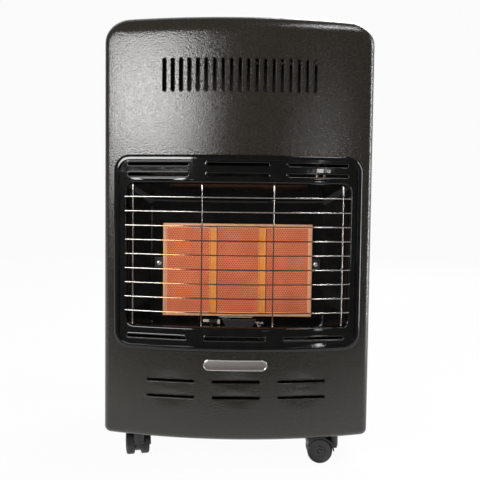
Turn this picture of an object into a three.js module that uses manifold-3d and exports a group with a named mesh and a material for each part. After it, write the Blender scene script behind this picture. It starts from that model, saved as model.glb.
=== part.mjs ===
// Portable gas cabinet heater, millimetres, +Z up, front towards -Y, floor at Z 0.
// A bowed pressed front with a black firing frame and wire guard hides three
// ceramic burner plaques. The gas bottle stands behind, under a lift-off cover.
import * as THREE from 'three';
import { mergeVertices } from 'three/addons/utils/BufferGeometryUtils.js';
import Module from 'manifold-3d';

const wasm = await Module();
wasm.setup();

// Driving sizes of the cabinet.
const WIDTH = 420;
const DEPTH = 430;
const HEIGHT = 700;
const BOW = 36;
const BOW_PITCH = 42;
const GROUND_GAP = 50;
const SEAT = 0.3;
const FLATNESS = 0.02;

// Sheet thicknesses.
const PANEL_SHEET = 1.2;
const CABINET_SHEET = 1;
const BASE_SHEET = 1.5;

const HALF_WIDTH = WIDTH / 2;
const BOW_RADIUS = (HALF_WIDTH ** 2 + BOW ** 2) / (2 * BOW);
const BACK_Y = DEPTH / 2;

// Wire guard stock, and how far the firing frame stands before the front panel.
const WIRE_RADIUS = 1.15;
const WIRE_WELD = 0.5;
const BAND_PROUD = 1.5;
const GUARD_PROUD = BAND_PROUD + SEAT + 2 * WIRE_RADIUS;
const PANEL_FRONT = -DEPTH / 2 + GUARD_PROUD;

// Front of the burner housing, deep behind the panel; the burner parts are placed from it.
const BURNER_FACE = PANEL_FRONT + 58.9;

// ---------------------------------------------------------------- helpers

const X_AXIS = new THREE.Vector3(1, 0, 0);
const Y_AXIS = new THREE.Vector3(0, 1, 0);
const Z_AXIS = new THREE.Vector3(0, 0, 1);
const PRISM_BASIS = {
  x: new THREE.Matrix4().makeBasis(Y_AXIS, Z_AXIS, X_AXIS),
  y: new THREE.Matrix4().makeBasis(X_AXIS, Z_AXIS, Y_AXIS.clone().negate()),
  z: new THREE.Matrix4(),
};

// Volume enclosed by a triangle list, negative when it is wound inside out.
function signedVolume(positions, indices) {
  const a = new THREE.Vector3();
  const b = new THREE.Vector3();
  const c = new THREE.Vector3();
  let sum = 0;
  for (let i = 0; i < indices.length; i += 3) {
    a.fromArray(positions, 3 * indices[i]);
    b.fromArray(positions, 3 * indices[i + 1]);
    c.fromArray(positions, 3 * indices[i + 2]);
    sum += a.dot(b.cross(c));
  }
  return sum / 6;
}

// Geometry to solid: joined vertices, no empty triangles, faces turned outwards.
function toSolid(geometry) {
  const bare = geometry.clone();
  bare.deleteAttribute('normal');
  bare.deleteAttribute('uv');
  const merged = mergeVertices(bare, 1e-4);
  const positions = merged.attributes.position.array;
  const source = merged.index.array;
  const indices = [];
  for (let i = 0; i < source.length; i += 3) {
    const [p, q, r] = [source[i], source[i + 1], source[i + 2]];
    if (p !== q && q !== r && r !== p) indices.push(p, q, r);
  }
  if (signedVolume(positions, indices) < 0) indices.reverse();
  return new wasm.Manifold(new wasm.Mesh({
    numProp: 3,
    vertProperties: Float32Array.from(positions),
    triVerts: Uint32Array.from(indices),
  }));
}

function toGeometry(solid) {
  const mesh = solid.simplify(FLATNESS).getMesh();
  const geometry = new THREE.BufferGeometry();
  geometry.setAttribute('position', new THREE.BufferAttribute(Float32Array.from(mesh.vertProperties), 3));
  geometry.setIndex(Array.from(mesh.triVerts));
  const flat = geometry.toNonIndexed();
  flat.computeVertexNormals();
  return flat;
}

function union(solids) {
  return solids.reduce((sum, next) => sum.add(next));
}

function cut(solid, tools) {
  return tools.reduce((rest, tool) => rest.subtract(tool), solid);
}

function box(x0, x1, y0, y1, z0, z1) {
  const geometry = new THREE.BoxGeometry(x1 - x0, y1 - y0, z1 - z0);
  geometry.translate((x0 + x1) / 2, (y0 + y1) / 2, (z0 + z1) / 2);
  return toSolid(geometry);
}

// Rounded rectangle, counter-clockwise; lower and upper corners have own radii.
function roundedRect(x0, x1, z0, z1, lower, upper, steps) {
  const corners = [
    [x0 + lower, z0 + lower, lower, Math.PI],
    [x1 - lower, z0 + lower, lower, 1.5 * Math.PI],
    [x1 - upper, z1 - upper, upper, 0],
    [x0 + upper, z1 - upper, upper, 0.5 * Math.PI],
  ];
  return corners.flatMap(([cx, cz, radius, start]) => {
    const arc = [];
    for (let i = 0; i <= steps; i += 1) {
      const angle = start + (i / steps) * 0.5 * Math.PI;
      arc.push([cx + radius * Math.cos(angle), cz + radius * Math.sin(angle)]);
    }
    return arc;
  });
}

// Slot with round ends, centred at (cx, cz).
function pill(cx, cz, length, height, steps) {
  const radius = Math.min(length, height) / 2;
  return roundedRect(cx - length / 2, cx + length / 2, cz - height / 2, cz + height / 2,
    radius, radius, steps);
}

function disc(a, b, radius, sides) {
  const points = [];
  for (let i = 0; i < sides; i += 1) {
    const angle = (2 * Math.PI * i) / sides;
    points.push([a + radius * Math.cos(angle), b + radius * Math.sin(angle)]);
  }
  return points;
}

// Straight prism of an outline. The outline lies in YZ, XZ or XY for axis x, y or z.
function prism(axis, outline, from, to) {
  const points = outline.filter(([a, b], i) => {
    const [c, d] = outline[(i + 1) % outline.length];
    return Math.hypot(a - c, b - d) > 1e-3;
  });
  const shape = new THREE.Shape(points.map(([a, b]) => new THREE.Vector2(a, b)));
  const geometry = new THREE.ExtrudeGeometry(shape, { depth: to - from, bevelEnabled: false });
  geometry.applyMatrix4(PRISM_BASIS[axis]);
  const start = { x: [from, 0, 0], y: [0, to, 0], z: [0, 0, from] }[axis];
  geometry.translate(...start);
  return toSolid(geometry);
}

function rod(axis, a, b, radius, from, to, sides = 16) {
  return prism(axis, disc(a, b, radius, sides), from, to);
}

// Body turned about the Z axis from [radius, z] points.
function turned(profile, segments = 16) {
  const points = profile.map(([radius, z]) => new THREE.Vector2(radius, z));
  const geometry = new THREE.LatheGeometry(points, segments);
  geometry.rotateX(Math.PI / 2);
  return toSolid(geometry);
}

// Skin through rings of equal point count: end faces closed, or joined into a loop.
function loft(rings, loop = false) {
  const count = rings[0].length;
  const positions = rings.flat(2);
  const indices = [];
  const last = loop ? rings.length : rings.length - 1;
  for (let r = 0; r < last; r += 1) {
    const here = r * count;
    const there = ((r + 1) % rings.length) * count;
    for (let i = 0; i < count; i += 1) {
      const j = (i + 1) % count;
      indices.push(here + i, here + j, there + j, here + i, there + j, there + i);
    }
  }
  if (!loop) {
    const flat = rings[0].map(([x, , z]) => new THREE.Vector2(x, z));
    const top = (rings.length - 1) * count;
    THREE.ShapeUtils.triangulateShape(flat, []).forEach(([p, q, r]) => {
      indices.push(p, r, q, top + p, top + q, top + r);
    });
  }
  const geometry = new THREE.BufferGeometry();
  geometry.setAttribute('position', new THREE.Float32BufferAttribute(positions, 3));
  geometry.setIndex(indices);
  return toSolid(geometry);
}

function ringAt(outline, y) {
  return outline.map(([x, z]) => [x, y, z]);
}

// Path through given points, for wire and pipe bent from straight stock.
class BentPath extends THREE.Curve {
  constructor(points) {
    super();
    this.points = points;
  }

  getPoint(t, target = new THREE.Vector3()) {
    const place = t * (this.points.length - 1);
    const i = Math.min(Math.floor(place), this.points.length - 2);
    return target.lerpVectors(this.points[i], this.points[i + 1], place - i);
  }

  getUtoTmapping(u) {
    return u;
  }
}

function tube(points, radius, sides) {
  const path = new BentPath(points);
  const section = new THREE.Shape(disc(0, 0, radius, sides).map(([a, b]) => new THREE.Vector2(a, b)));
  return toSolid(new THREE.ExtrudeGeometry(section, {
    steps: points.length - 1, bevelEnabled: false, extrudePath: path,
  }));
}

// Corner points of a pipe run replaced by short bends.
function bends(corners, radius, steps) {
  const points = corners.map((corner) => new THREE.Vector3(...corner));
  const run = [points[0]];
  for (let i = 1; i < points.length - 1; i += 1) {
    const back = points[i - 1].clone().sub(points[i]).normalize();
    const ahead = points[i + 1].clone().sub(points[i]).normalize();
    const curve = new THREE.QuadraticBezierCurve3(
      points[i].clone().addScaledVector(back, radius), points[i],
      points[i].clone().addScaledVector(ahead, radius),
    );
    run.push(...curve.getPoints(steps));
  }
  run.push(points[points.length - 1]);
  return run;
}

// Depth of the bowed front behind its middle, as flat facets one pitch wide.
function bowAt(x) {
  const arc = (u) => BOW_RADIUS - Math.sqrt(BOW_RADIUS ** 2 - u ** 2);
  const left = (Math.round(x / BOW_PITCH) - 0.5) * BOW_PITCH;
  const right = left + BOW_PITCH;
  return THREE.MathUtils.mapLinear(x, left, right, arc(left), arc(right)) - arc(0.5 * BOW_PITCH);
}

// One triangle cut along the plane x = station.
function splitTriangle(triangle, station) {
  const side = triangle.map(([x]) => (Math.abs(x - station) < 1e-3 ? 0 : Math.sign(x - station)));
  if (!side.includes(1) || !side.includes(-1)) return [triangle];
  const between = (p, q) => {
    const [low, high] = p[0] < q[0] ? [p, q] : [q, p];
    const t = (station - low[0]) / (high[0] - low[0]);
    return [station, low[1] + t * (high[1] - low[1]), low[2] + t * (high[2] - low[2])];
  };
  const lone = side.includes(0)
    ? side.indexOf(0)
    : side.findIndex((s) => s !== 0 && side.filter((o) => o === s).length === 1);
  const [a, b, c] = [0, 1, 2].map((i) => triangle[(lone + i) % 3]);
  if (side.includes(0)) {
    const mid = between(b, c);
    return [[a, b, mid], [a, mid, c]];
  }
  const ab = between(a, b);
  const ac = between(a, c);
  return [[a, ab, ac], [ab, b, c], [ab, c, ac]];
}

// Presses a flat piece into the bow of the front; its y is depth behind the panel face.
function bend(solid) {
  const mesh = solid.getMesh();
  const vertex = (i) => Array.from(mesh.vertProperties.slice(3 * i, 3 * i + 3));
  let triangles = [];
  for (let i = 0; i < mesh.triVerts.length; i += 3) {
    triangles.push([0, 1, 2].map((k) => vertex(mesh.triVerts[i + k])));
  }
  const reach = Math.floor(HALF_WIDTH / BOW_PITCH);
  for (let k = -reach; k <= reach + 1; k += 1) {
    triangles = triangles.flatMap((triangle) => splitTriangle(triangle, (k - 0.5) * BOW_PITCH));
  }
  const positions = triangles.flat().flatMap(([x, y, z]) => [x, y + PANEL_FRONT + bowAt(x), z]);
  const geometry = new THREE.BufferGeometry();
  geometry.setAttribute('position', new THREE.Float32BufferAttribute(positions, 3));
  return toSolid(geometry);
}

// ---------------------------------------------------------------- front panel

const SEAM_Y = PANEL_FRONT + 70.9;
const BULL_NOSE = 28;
const SIDE_ROUND = 9;
const FOOT_ROUND = 12;
const PANEL_TOP_CORNER = 38;
const PANEL_FOOT_CORNER = 10;

const VENT = { count: 19, first: -114, last: 115.7, z: HEIGHT - 92, length: 51, width: 6 };
const GRILLE = { columns: [-101.7, 0, 101.5], rows: [139.5, 114.6], length: 75.5, height: 5.6 };

// Caster positions under the base: [x, y, direction the wheels trail in degrees].
const CASTERS = {
  front_left: [53.5 - HALF_WIDTH, SEAM_Y - 17, 104],
  front_right: [HALF_WIDTH - 52.5, SEAM_Y - 17, 180],
  rear_left: [60 - HALF_WIDTH, BACK_Y - 47, 80],
  rear_right: [HALF_WIDTH - 60, BACK_Y - 47, 60],
};
const SOCKET = { bore: 4.6, wall: 3, flange: 10, flangeTop: 51.2, flangeFoot: 48, top: 78 };

// Black firing frame on the panel, and the opening inside it.
const BEZEL = { halfWidth: HALF_WIDTH - 16.5, foot: 186, top: 488, corner: 25 };
const OPENING = { halfWidth: HALF_WIDTH - 36.5, foot: 223, top: 446, corner: 12 };
const PANEL_WINDOW = { halfWidth: HALF_WIDTH - 25.5, foot: 197, top: 480, corner: 16 };

function edgeInset(radius, depth) {
  return depth < radius ? radius - Math.sqrt(radius ** 2 - (radius - depth) ** 2) : 0;
}

// Closed tray form of the panel, shrunk all round by an offset.
function panelForm(offset, backDepth) {
  const nose = BULL_NOSE - offset;
  const depths = [0, 22.5, 45, 67.5, 90].map((a) => nose * (1 - Math.cos(THREE.MathUtils.degToRad(a))));
  depths.push(backDepth - offset);
  return loft(depths.map((depth) => {
    const side = edgeInset(SIDE_ROUND - offset, depth);
    const top = edgeInset(nose, depth);
    const foot = edgeInset(FOOT_ROUND - offset, depth);
    return ringAt(roundedRect(
      -HALF_WIDTH + offset + side, HALF_WIDTH - offset - side,
      GROUND_GAP + offset + foot, HEIGHT - offset - top,
      PANEL_FOOT_CORNER - offset, PANEL_TOP_CORNER - offset - 0.5 * (side + top), 5,
    ), offset + depth);
  }));
}

function frontPanel() {
  const depth = SEAM_Y - PANEL_FRONT + 1;
  const shell = panelForm(0, depth).subtract(panelForm(PANEL_SHEET, depth + 2));
  const through = (outline) => prism('y', outline, -5, 2 * PANEL_SHEET);
  const slots = [];
  const pitch = (VENT.last - VENT.first) / (VENT.count - 1);
  for (let i = 0; i < VENT.count; i += 1) {
    slots.push(through(pill(VENT.first + i * pitch, VENT.z, VENT.width, VENT.length, 2)));
  }
  for (const x of GRILLE.columns) {
    for (const z of GRILLE.rows) slots.push(through(pill(x, z, GRILLE.length, GRILLE.height, 3)));
  }
  const { halfWidth, foot, top, corner } = PANEL_WINDOW;
  slots.push(through(roundedRect(-halfWidth, halfWidth, foot, top, corner, corner, 3)));
  const bowed = bend(cut(shell, slots));
  const rear = box(-WIDTH, WIDTH, SEAM_Y, SEAM_Y + 100, 0, HEIGHT + 10);
  const notches = [CASTERS.front_left, CASTERS.front_right].map(([x, y]) => box(
    x - SOCKET.flange - 2, x + SOCKET.flange + 2, y - SOCKET.flange - 2, SEAM_Y + 1,
    GROUND_GAP - 1, GROUND_GAP + 2 * PANEL_SHEET,
  ));
  return cut(bowed, [rear, ...notches]);
}

// ---------------------------------------------------------------- firing frame

const BEAD = { proud: 4, width: 9 };
const FRAME_SHEET = 1;
const LIP_DEPTH = 9;
const FRAME_SLOTS = [
  { columns: [-123.2, -0.8, 122.2], z: BEZEL.top - 14.2, length: 95, height: 5.4 },
  { columns: [-123.2, -0.8, 122.2], z: BEZEL.top - 30.2, length: 95, height: 5.4 },
  { columns: [-124.5, -3, 119.5], z: BEZEL.foot + 21, length: 93.5, height: 5 },
];

function bezelFrame() {
  const ring = (rect, inset, depth) => ringAt(roundedRect(
    -rect.halfWidth + inset, rect.halfWidth - inset, rect.foot + inset, rect.top - inset,
    rect.corner - inset, rect.corner - inset, 4,
  ), depth);
  const band = -BAND_PROUD;
  const crest = -BEAD.proud;
  const inner = band + FRAME_SHEET;
  const frame = loft([
    ring(BEZEL, 0, -SEAT),
    ring(BEZEL, 0.8, crest + 1.4),
    ring(BEZEL, 3, crest),
    ring(BEZEL, 5, crest),
    ring(BEZEL, BEAD.width, band),
    ring(OPENING, -2, band),
    ring(OPENING, 0, band + 2),
    ring(OPENING, 0, LIP_DEPTH),
    ring(OPENING, -FRAME_SHEET, LIP_DEPTH),
    ring(OPENING, -FRAME_SHEET, inner + 1.5),
    ring(OPENING, -2.5, inner),
    ring(BEZEL, BEAD.width - 1, inner),
    ring(BEZEL, 5, crest + FRAME_SHEET),
    ring(BEZEL, 3, crest + FRAME_SHEET),
    ring(BEZEL, 1.8, crest + 2.4),
    ring(BEZEL, FRAME_SHEET, -SEAT),
  ], true);
  const slots = FRAME_SLOTS.flatMap(({ columns, z, length, height }) => (
    columns.map((x) => prism('y', pill(x, z, length, height, 2), -5, 4))
  ));
  return bend(cut(frame, slots));
}

// ---------------------------------------------------------------- wire guard

const GUARD = {
  halfWidth: OPENING.halfWidth + 1.3,
  rows: 9,
  topRow: OPENING.top - 22.5,
  rowPitch: (OPENING.top - OPENING.foot - 46.2) / 8,
  columns: [11 - OPENING.halfWidth, -54.7, 54.7, OPENING.halfWidth - 11],
  hook: 8,
};

// Nine cross wires in front, welded to four uprights hooked behind the frame's edge.
function wireGuard() {
  const crossDepth = -BAND_PROUD - SEAT - WIRE_RADIUS;
  const uprightDepth = crossDepth + 2 * WIRE_RADIUS - WIRE_WELD;
  const at = (x, depth, z) => [x, PANEL_FRONT + bowAt(x) + depth, z];
  const stops = [-GUARD.halfWidth];
  for (let k = -4; k <= 3; k += 1) stops.push((k + 0.5) * BOW_PITCH);
  stops.push(GUARD.halfWidth);
  const wires = [];
  for (let row = 0; row < GUARD.rows; row += 1) {
    const z = GUARD.topRow - row * GUARD.rowPitch;
    const path = stops.map((x) => new THREE.Vector3(...at(x, crossDepth, z)));
    wires.push(tube(path, WIRE_RADIUS, 6));
  }
  const top = OPENING.top - WIRE_RADIUS - SEAT;
  const foot = OPENING.foot + WIRE_RADIUS + SEAT;
  for (const x of GUARD.columns) {
    const path = bends([
      at(x, uprightDepth + GUARD.hook, top),
      at(x, uprightDepth, top),
      at(x, uprightDepth, foot),
      at(x, uprightDepth + GUARD.hook, foot),
    ], 3.5, 2);
    wires.push(tube(path, WIRE_RADIUS, 6));
  }
  return union(wires);
}

// ---------------------------------------------------------------- badge

const BADGE = { x: -1.5, z: 166, length: 99, height: 17.4, rim: 2.2, proud: 2.4, well: 1.2 };

function badgePlate() {
  const outer = (shrink, from, to) => prism('y', pill(
    BADGE.x, BADGE.z, BADGE.length - 2 * shrink, BADGE.height - 2 * shrink, 5,
  ), from, to);
  const plate = outer(0, -BADGE.proud + 0.5, -SEAT).add(outer(0.5, -BADGE.proud, -1));
  return bend(plate.subtract(outer(BADGE.rim, -BADGE.proud - 1, -BADGE.proud + BADGE.well)));
}

function badgeField() {
  const gap = BADGE.rim + SEAT;
  const front = -BADGE.proud + 0.6;
  return bend(prism('y', pill(
    BADGE.x, BADGE.z, BADGE.length - 2 * gap, BADGE.height - 2 * gap, 5,
  ), front, -BADGE.proud + BADGE.well - 0.15));
}

// ---------------------------------------------------------------- cabinet sheets

const WRAP_GAP = PANEL_SHEET + SEAT;
const WRAP = {
  halfWidth: HALF_WIDTH - WRAP_GAP,
  top: HEIGHT - WRAP_GAP,
  foot: GROUND_GAP + 2,
  corner: PANEL_TOP_CORNER - WRAP_GAP,
  front: SEAM_Y - 8,
  back: BACK_Y - 60,
  rearTop: HEIGHT - 36,
};
const REAR_FLANGE = 40;

// Top recess that holds the controls, and the hand grips in the sides.
const TRAY = {
  x0: HALF_WIDTH - 182, x1: HALF_WIDTH - 28, y0: BACK_Y - 179, y1: BACK_Y - 81,
  floor: HEIGHT - 24, wall: 2, rim: 7, rimSheet: 1.2,
};
const GRIP = {
  y0: -45, y1: 65, z0: HEIGHT - 140, z1: HEIGHT - 104, depth: 20, wall: 1.8, rim: 6, sheet: 1.2,
};

function archOutline(inset) {
  const side = WRAP.halfWidth - inset;
  return roundedRect(-side, side, WRAP.foot, WRAP.top - inset, 0, WRAP.corner - inset, 5);
}

function cabinetWrap() {
  const outer = prism('y', archOutline(0), WRAP.front, WRAP.back);
  const sheetInside = archOutline(CABINET_SHEET).map(([x, z]) => [x, z === WRAP.foot ? z - 5 : z]);
  const inside = prism('y', sheetInside, WRAP.front - 1, WRAP.back - CABINET_SHEET);
  const side = WRAP.halfWidth - REAR_FLANGE;
  const rearOpening = box(-side, side, WRAP.back - 5, WRAP.back + 1, WRAP.foot - 5, WRAP.rearTop);
  const clearance = TRAY.wall + SEAT;
  const trayOpening = box(TRAY.x0 - clearance, TRAY.x1 + clearance,
    TRAY.y0 - clearance, TRAY.y1 + clearance, WRAP.top - 5, WRAP.top + 1);
  const gripOpening = box(-WIDTH, WIDTH, GRIP.y0 - GRIP.wall - SEAT, GRIP.y1 + GRIP.wall + SEAT,
    GRIP.z0 - GRIP.wall - SEAT, GRIP.z1 + GRIP.wall + SEAT);
  const reliefTop = GROUND_GAP + PANEL_FOOT_CORNER + 2;
  const footRelief = box(-WIDTH, WIDTH, WRAP.front - 1, SEAM_Y + SEAT, 0, reliefTop);
  return cut(outer, [inside, rearOpening, trayOpening, gripOpening, footRelief]);
}

const BASE = {
  floor: GROUND_GAP + PANEL_SHEET + SEAT,
  halfWidth: WRAP.halfWidth - CABINET_SHEET - SEAT,
  front: SEAM_Y - 28,
  noseHalfWidth: HALF_WIDTH - 13,
  nose: SEAM_Y + 0.7,
  step: WRAP.back - 5,
  tailHalfWidth: WRAP.halfWidth - REAR_FLANGE - 1.5,
  back: BACK_Y - 7,
  lip: 26,
};
const BOTTLE_RING = { y: 46, radius: 140, width: 5, height: 3 };
const FLOOR_VENTS = { columns: [-60, -20, 20, 60], y: -58, width: 8, length: 44 };

function baseOutline(inset) {
  const { halfWidth, front, noseHalfWidth, nose, step, tailHalfWidth, back } = BASE;
  return [
    [-halfWidth + inset, nose + inset], [-noseHalfWidth + inset, nose + inset],
    [-noseHalfWidth + inset, front + inset], [noseHalfWidth - inset, front + inset],
    [noseHalfWidth - inset, nose + inset], [halfWidth - inset, nose + inset],
    [halfWidth - inset, step - inset], [tailHalfWidth - inset, step - inset],
    [tailHalfWidth - inset, back - inset], [-tailHalfWidth + inset, back - inset],
    [-tailHalfWidth + inset, step - inset], [-halfWidth + inset, step - inset],
  ];
}

function baseTray() {
  const floorTop = BASE.floor + BASE_SHEET;
  const block = prism('z', baseOutline(0), BASE.floor, BASE.floor + BASE.lip);
  const inside = prism('z', baseOutline(BASE_SHEET), floorTop, BASE.floor + BASE.lip + 1);
  const ring = turned([
    [BOTTLE_RING.radius, floorTop - 0.5],
    [BOTTLE_RING.radius + BOTTLE_RING.width, floorTop - 0.5],
    [BOTTLE_RING.radius + BOTTLE_RING.width, floorTop + BOTTLE_RING.height],
    [BOTTLE_RING.radius, floorTop + BOTTLE_RING.height],
    [BOTTLE_RING.radius, floorTop - 0.5],
  ], 32).translate([0, BOTTLE_RING.y, 0]);
  const holes = Object.values(CASTERS).map(([x, y]) => (
    rod('z', x, y, SOCKET.bore + SOCKET.wall + 0.5, BASE.floor - 1, floorTop + 1, 12)
  ));
  const vents = FLOOR_VENTS.columns.map((x) => prism('z',
    pill(x, FLOOR_VENTS.y, FLOOR_VENTS.width, FLOOR_VENTS.length, 3), BASE.floor - 1, floorTop + 1));
  return cut(block.subtract(inside).add(ring), [...holes, ...vents]);
}

function casterSocket() {
  const outer = SOCKET.bore + SOCKET.wall;
  return turned([
    [SOCKET.bore, SOCKET.flangeFoot], [SOCKET.flange, SOCKET.flangeFoot],
    [SOCKET.flange, SOCKET.flangeTop], [outer, SOCKET.flangeTop],
    [outer, SOCKET.top], [SOCKET.bore, SOCKET.top], [SOCKET.bore, SOCKET.flangeFoot],
  ], 12);
}

// Fixed panel above the rear cover, clipped inside the wrap's rear flange.
const REAR_PANEL = {
  halfWidth: WRAP.halfWidth - 5.5, foot: HEIGHT - 98, top: HEIGHT - 10, corner: 22,
  hem: 12, hemHalf: WRAP.halfWidth - 48.5, columns: [-100, 0, 100], rows: [22, 36, 50],
};

function upperRearPanel() {
  const face = WRAP.back - CABINET_SHEET - SEAT;
  const sheet = prism('y', roundedRect(-REAR_PANEL.halfWidth, REAR_PANEL.halfWidth,
    REAR_PANEL.foot, REAR_PANEL.top, 0, REAR_PANEL.corner, 3), face - CABINET_SHEET, face);
  const hem = box(-REAR_PANEL.hemHalf, REAR_PANEL.hemHalf, face - REAR_PANEL.hem, face,
    REAR_PANEL.foot, REAR_PANEL.foot + CABINET_SHEET);
  const slots = [];
  for (const x of REAR_PANEL.columns) {
    for (const rise of REAR_PANEL.rows) {
      slots.push(prism('y', pill(x, REAR_PANEL.foot + rise, 72, 5, 2), face - 5, face + 5));
    }
  }
  return cut(sheet.add(hem), slots);
}

// Lift-off cover behind the gas bottle, hung on two hooks.
const COVER = {
  backHalf: HALF_WIDTH - 36, rootHalf: HALF_WIDTH - 27, flangeHalf: HALF_WIDTH - 9,
  front: WRAP.back + SEAT, foot: GROUND_GAP + 6, top: HEIGHT - 100, sheet: 1,
};
const HOOK = {
  x0: HALF_WIDTH - 41.5, x1: HALF_WIDTH - 31, foot: COVER.top - 60, top: COVER.top - 28,
  lip: COVER.top - 47, sheet: 1.2, back: WRAP.back + 9,
};
const TAB = {
  x0: HOOK.x0 + 2, foot: HOOK.foot + 1.5, top: HOOK.top - 6, y0: WRAP.back + 3.6, y1: WRAP.back + 5.2,
};

function coverBand(half, front, back, root) {
  return [[-half, back], [-root, front], [root, front], [half, back]];
}

function rearCover() {
  const { backHalf, rootHalf, flangeHalf, front, foot, top, sheet } = COVER;
  const flangeBack = front + sheet;
  const shell = prism('z', coverBand(backHalf, front, BACK_Y, rootHalf), foot, top);
  const hollow = prism('z', coverBand(backHalf - sheet, front - 1, BACK_Y - sheet, rootHalf - sheet),
    foot - 1, top - sheet);
  const flanges = [-1, 1].map((side) => {
    const [a, b] = [side * (rootHalf - 0.5), side * flangeHalf].sort((p, q) => p - q);
    return box(a, b, front, flangeBack, foot, top);
  });
  const tabs = [-1, 1].map((side) => {
    const [a, b] = [side * TAB.x0, side * (rootHalf - 1)].sort((p, q) => p - q);
    return box(a, b, TAB.y0, TAB.y1, TAB.foot, TAB.top);
  });
  const slots = [];
  for (const x of [-75, 75]) {
    for (const base of [foot + 40, top - 100]) {
      for (let row = 0; row < 4; row += 1) {
        slots.push(prism('y', pill(x, base + row * 14, 96, 5, 2), BACK_Y - 5, BACK_Y + 5));
      }
    }
  }
  return cut(union([shell.subtract(hollow), ...flanges, ...tabs]), slots);
}

function coverHook(side) {
  const { x0, x1, foot, top, lip, sheet, back } = HOOK;
  const [a, b] = [side * x0, side * x1].sort((p, q) => p - q);
  const root = WRAP.back + SEAT;
  return union([
    box(a, b, root, root + sheet, foot, top),
    box(a, b, root, back, foot, foot + sheet),
    box(a, b, back - sheet, back, foot, lip),
  ]);
}

// Upright sheet between the burner space and the gas bottle.
const SHIELD = {
  halfWidth: WRAP.halfWidth - 10.5, y: BURNER_FACE + 40, top: HEIGHT - 60, flange: 10, hem: 14,
};

function heatShield() {
  const { halfWidth, y, top, flange, hem } = SHIELD;
  const reach = WRAP.halfWidth - CABINET_SHEET - SEAT;
  const base = BASE.floor + BASE_SHEET + SEAT;
  const side = (sign) => {
    const [a, b] = [sign * (halfWidth - 1), sign * reach].sort((p, q) => p - q);
    return box(a, b, y, y + CABINET_SHEET, BASE.floor + BASE.lip + 2, top);
  };
  const edge = (sign) => {
    const [a, b] = [sign * (reach - CABINET_SHEET), sign * reach].sort((p, q) => p - q);
    return box(a, b, y, y + flange, BASE.floor + BASE.lip + 2, top);
  };
  return union([
    box(-halfWidth, halfWidth, y, y + CABINET_SHEET, base, top),
    box(-halfWidth, halfWidth, y - hem, y + CABINET_SHEET, top - CABINET_SHEET, top),
    side(-1), side(1), edge(-1), edge(1),
  ]);
}

// Moulded finger cup let into a side of the wrap.
function sideGrip(side) {
  const { y0, y1, z0, z1, depth, wall, rim, sheet } = GRIP;
  const face = WRAP.halfWidth + SEAT;
  const section = (grow, from, to) => prism('x', roundedRect(
    y0 - grow, y1 + grow, z0 - grow, z1 + grow, 4, 4, 2,
  ), from, to);
  const cup = section(wall, face - depth, face + sheet)
    .add(section(wall + rim, face, face + sheet))
    .subtract(section(0, face - depth + wall, face + sheet + 1));
  return side > 0 ? cup : cup.mirror([1, 0, 0]);
}

// ---------------------------------------------------------------- burner space

const BURNER_HEIGHT = 148.8;
const BURNER = {
  halfWidth: HALF_WIDTH - 90.5, foot: OPENING.foot + 9.8, top: OPENING.foot + 9.8 + BURNER_HEIGHT,
  front: BURNER_FACE, back: BURNER_FACE + 36, sheet: 1, lip: 4,
};
const EAR = {
  reach: BURNER.halfWidth + 13.5, screwX: BURNER.halfWidth + 6.5, z: BURNER.foot + 84.9,
  halfHeight: 9, hole: 2.4,
};
const BACK_PLATE = {
  y: BURNER_FACE + 3.5, halfWidth: BURNER.halfWidth + 18.5,
  foot: OPENING.foot - 11, top: OPENING.top - 28, corner: 14,
};
const CHAMBER_SHEET = 0.8;
const CHAMBER_RIM_DEPTH = 4;
const VENTURI = {
  columns: [40.5 - BURNER.halfWidth, 0, BURNER.halfWidth - 40.5],
  y: BURNER_FACE + 21, outer: 9, bore: 7.8, foot: OPENING.foot - 17,
};
const PILOT = {
  x: -40, y: BURNER_FACE - 6, z: OPENING.foot + 1, pipe: 2, hole: 2.6,
  post: 3.6, head: 4, left: 14, right: 13, bore: 2.6,
};

// Longer level edges get extra points so that they can follow the bow.
function divideLevelEdges(outline, parts) {
  return outline.flatMap(([x, z], i) => {
    const [nx, nz] = outline[(i + 1) % outline.length];
    if (Math.abs(nx - x) < 60) return [[x, z]];
    return Array.from({ length: parts }, (_, k) => [x + ((nx - x) * k) / parts, z + ((nz - z) * k) / parts]);
  });
}

// Black enamelled hopper from the firing frame back to the plate round the burner.
function burnerChamber() {
  const outline = (halfWidth, foot, top, corner) => divideLevelEdges(
    roundedRect(-halfWidth, halfWidth, foot, top, corner, corner, 4), 8,
  );
  const rim = (grow, depth) => outline(
    OPENING.halfWidth + grow, OPENING.foot - grow, OPENING.top + grow, OPENING.corner + grow,
  ).map(([x, z]) => [x, PANEL_FRONT + bowAt(x) + depth, z]);
  const plate = (grow, y) => ringAt(outline(
    BACK_PLATE.halfWidth + grow, BACK_PLATE.foot - grow, BACK_PLATE.top + grow, BACK_PLATE.corner,
  ), y);
  const margin = 1.5;
  const hole = (y) => ringAt(outline(
    BURNER.halfWidth + margin, BURNER.foot - margin, BURNER.top + margin, 2,
  ), y);
  const inner = FRAME_SHEET + SEAT;
  const outer = inner + CHAMBER_SHEET;
  const shell = loft([
    rim(inner, CHAMBER_RIM_DEPTH), rim(inner, LIP_DEPTH + 1.5), plate(0, BACK_PLATE.y),
    hole(BACK_PLATE.y), hole(BACK_PLATE.y + CHAMBER_SHEET),
    plate(CHAMBER_SHEET, BACK_PLATE.y + CHAMBER_SHEET),
    rim(outer, LIP_DEPTH + 1.5), rim(outer, CHAMBER_RIM_DEPTH),
  ], true);
  const screwHoles = [-1, 1].map((side) => rod('y', side * EAR.screwX, EAR.z, EAR.hole,
    BACK_PLATE.y - 2, BACK_PLATE.y + 3, 8));
  return cut(shell, [...screwHoles, rod('z', PILOT.x, PILOT.y, PILOT.hole,
    BACK_PLATE.foot - 7, BACK_PLATE.foot + 13, 8)]);
}

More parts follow.
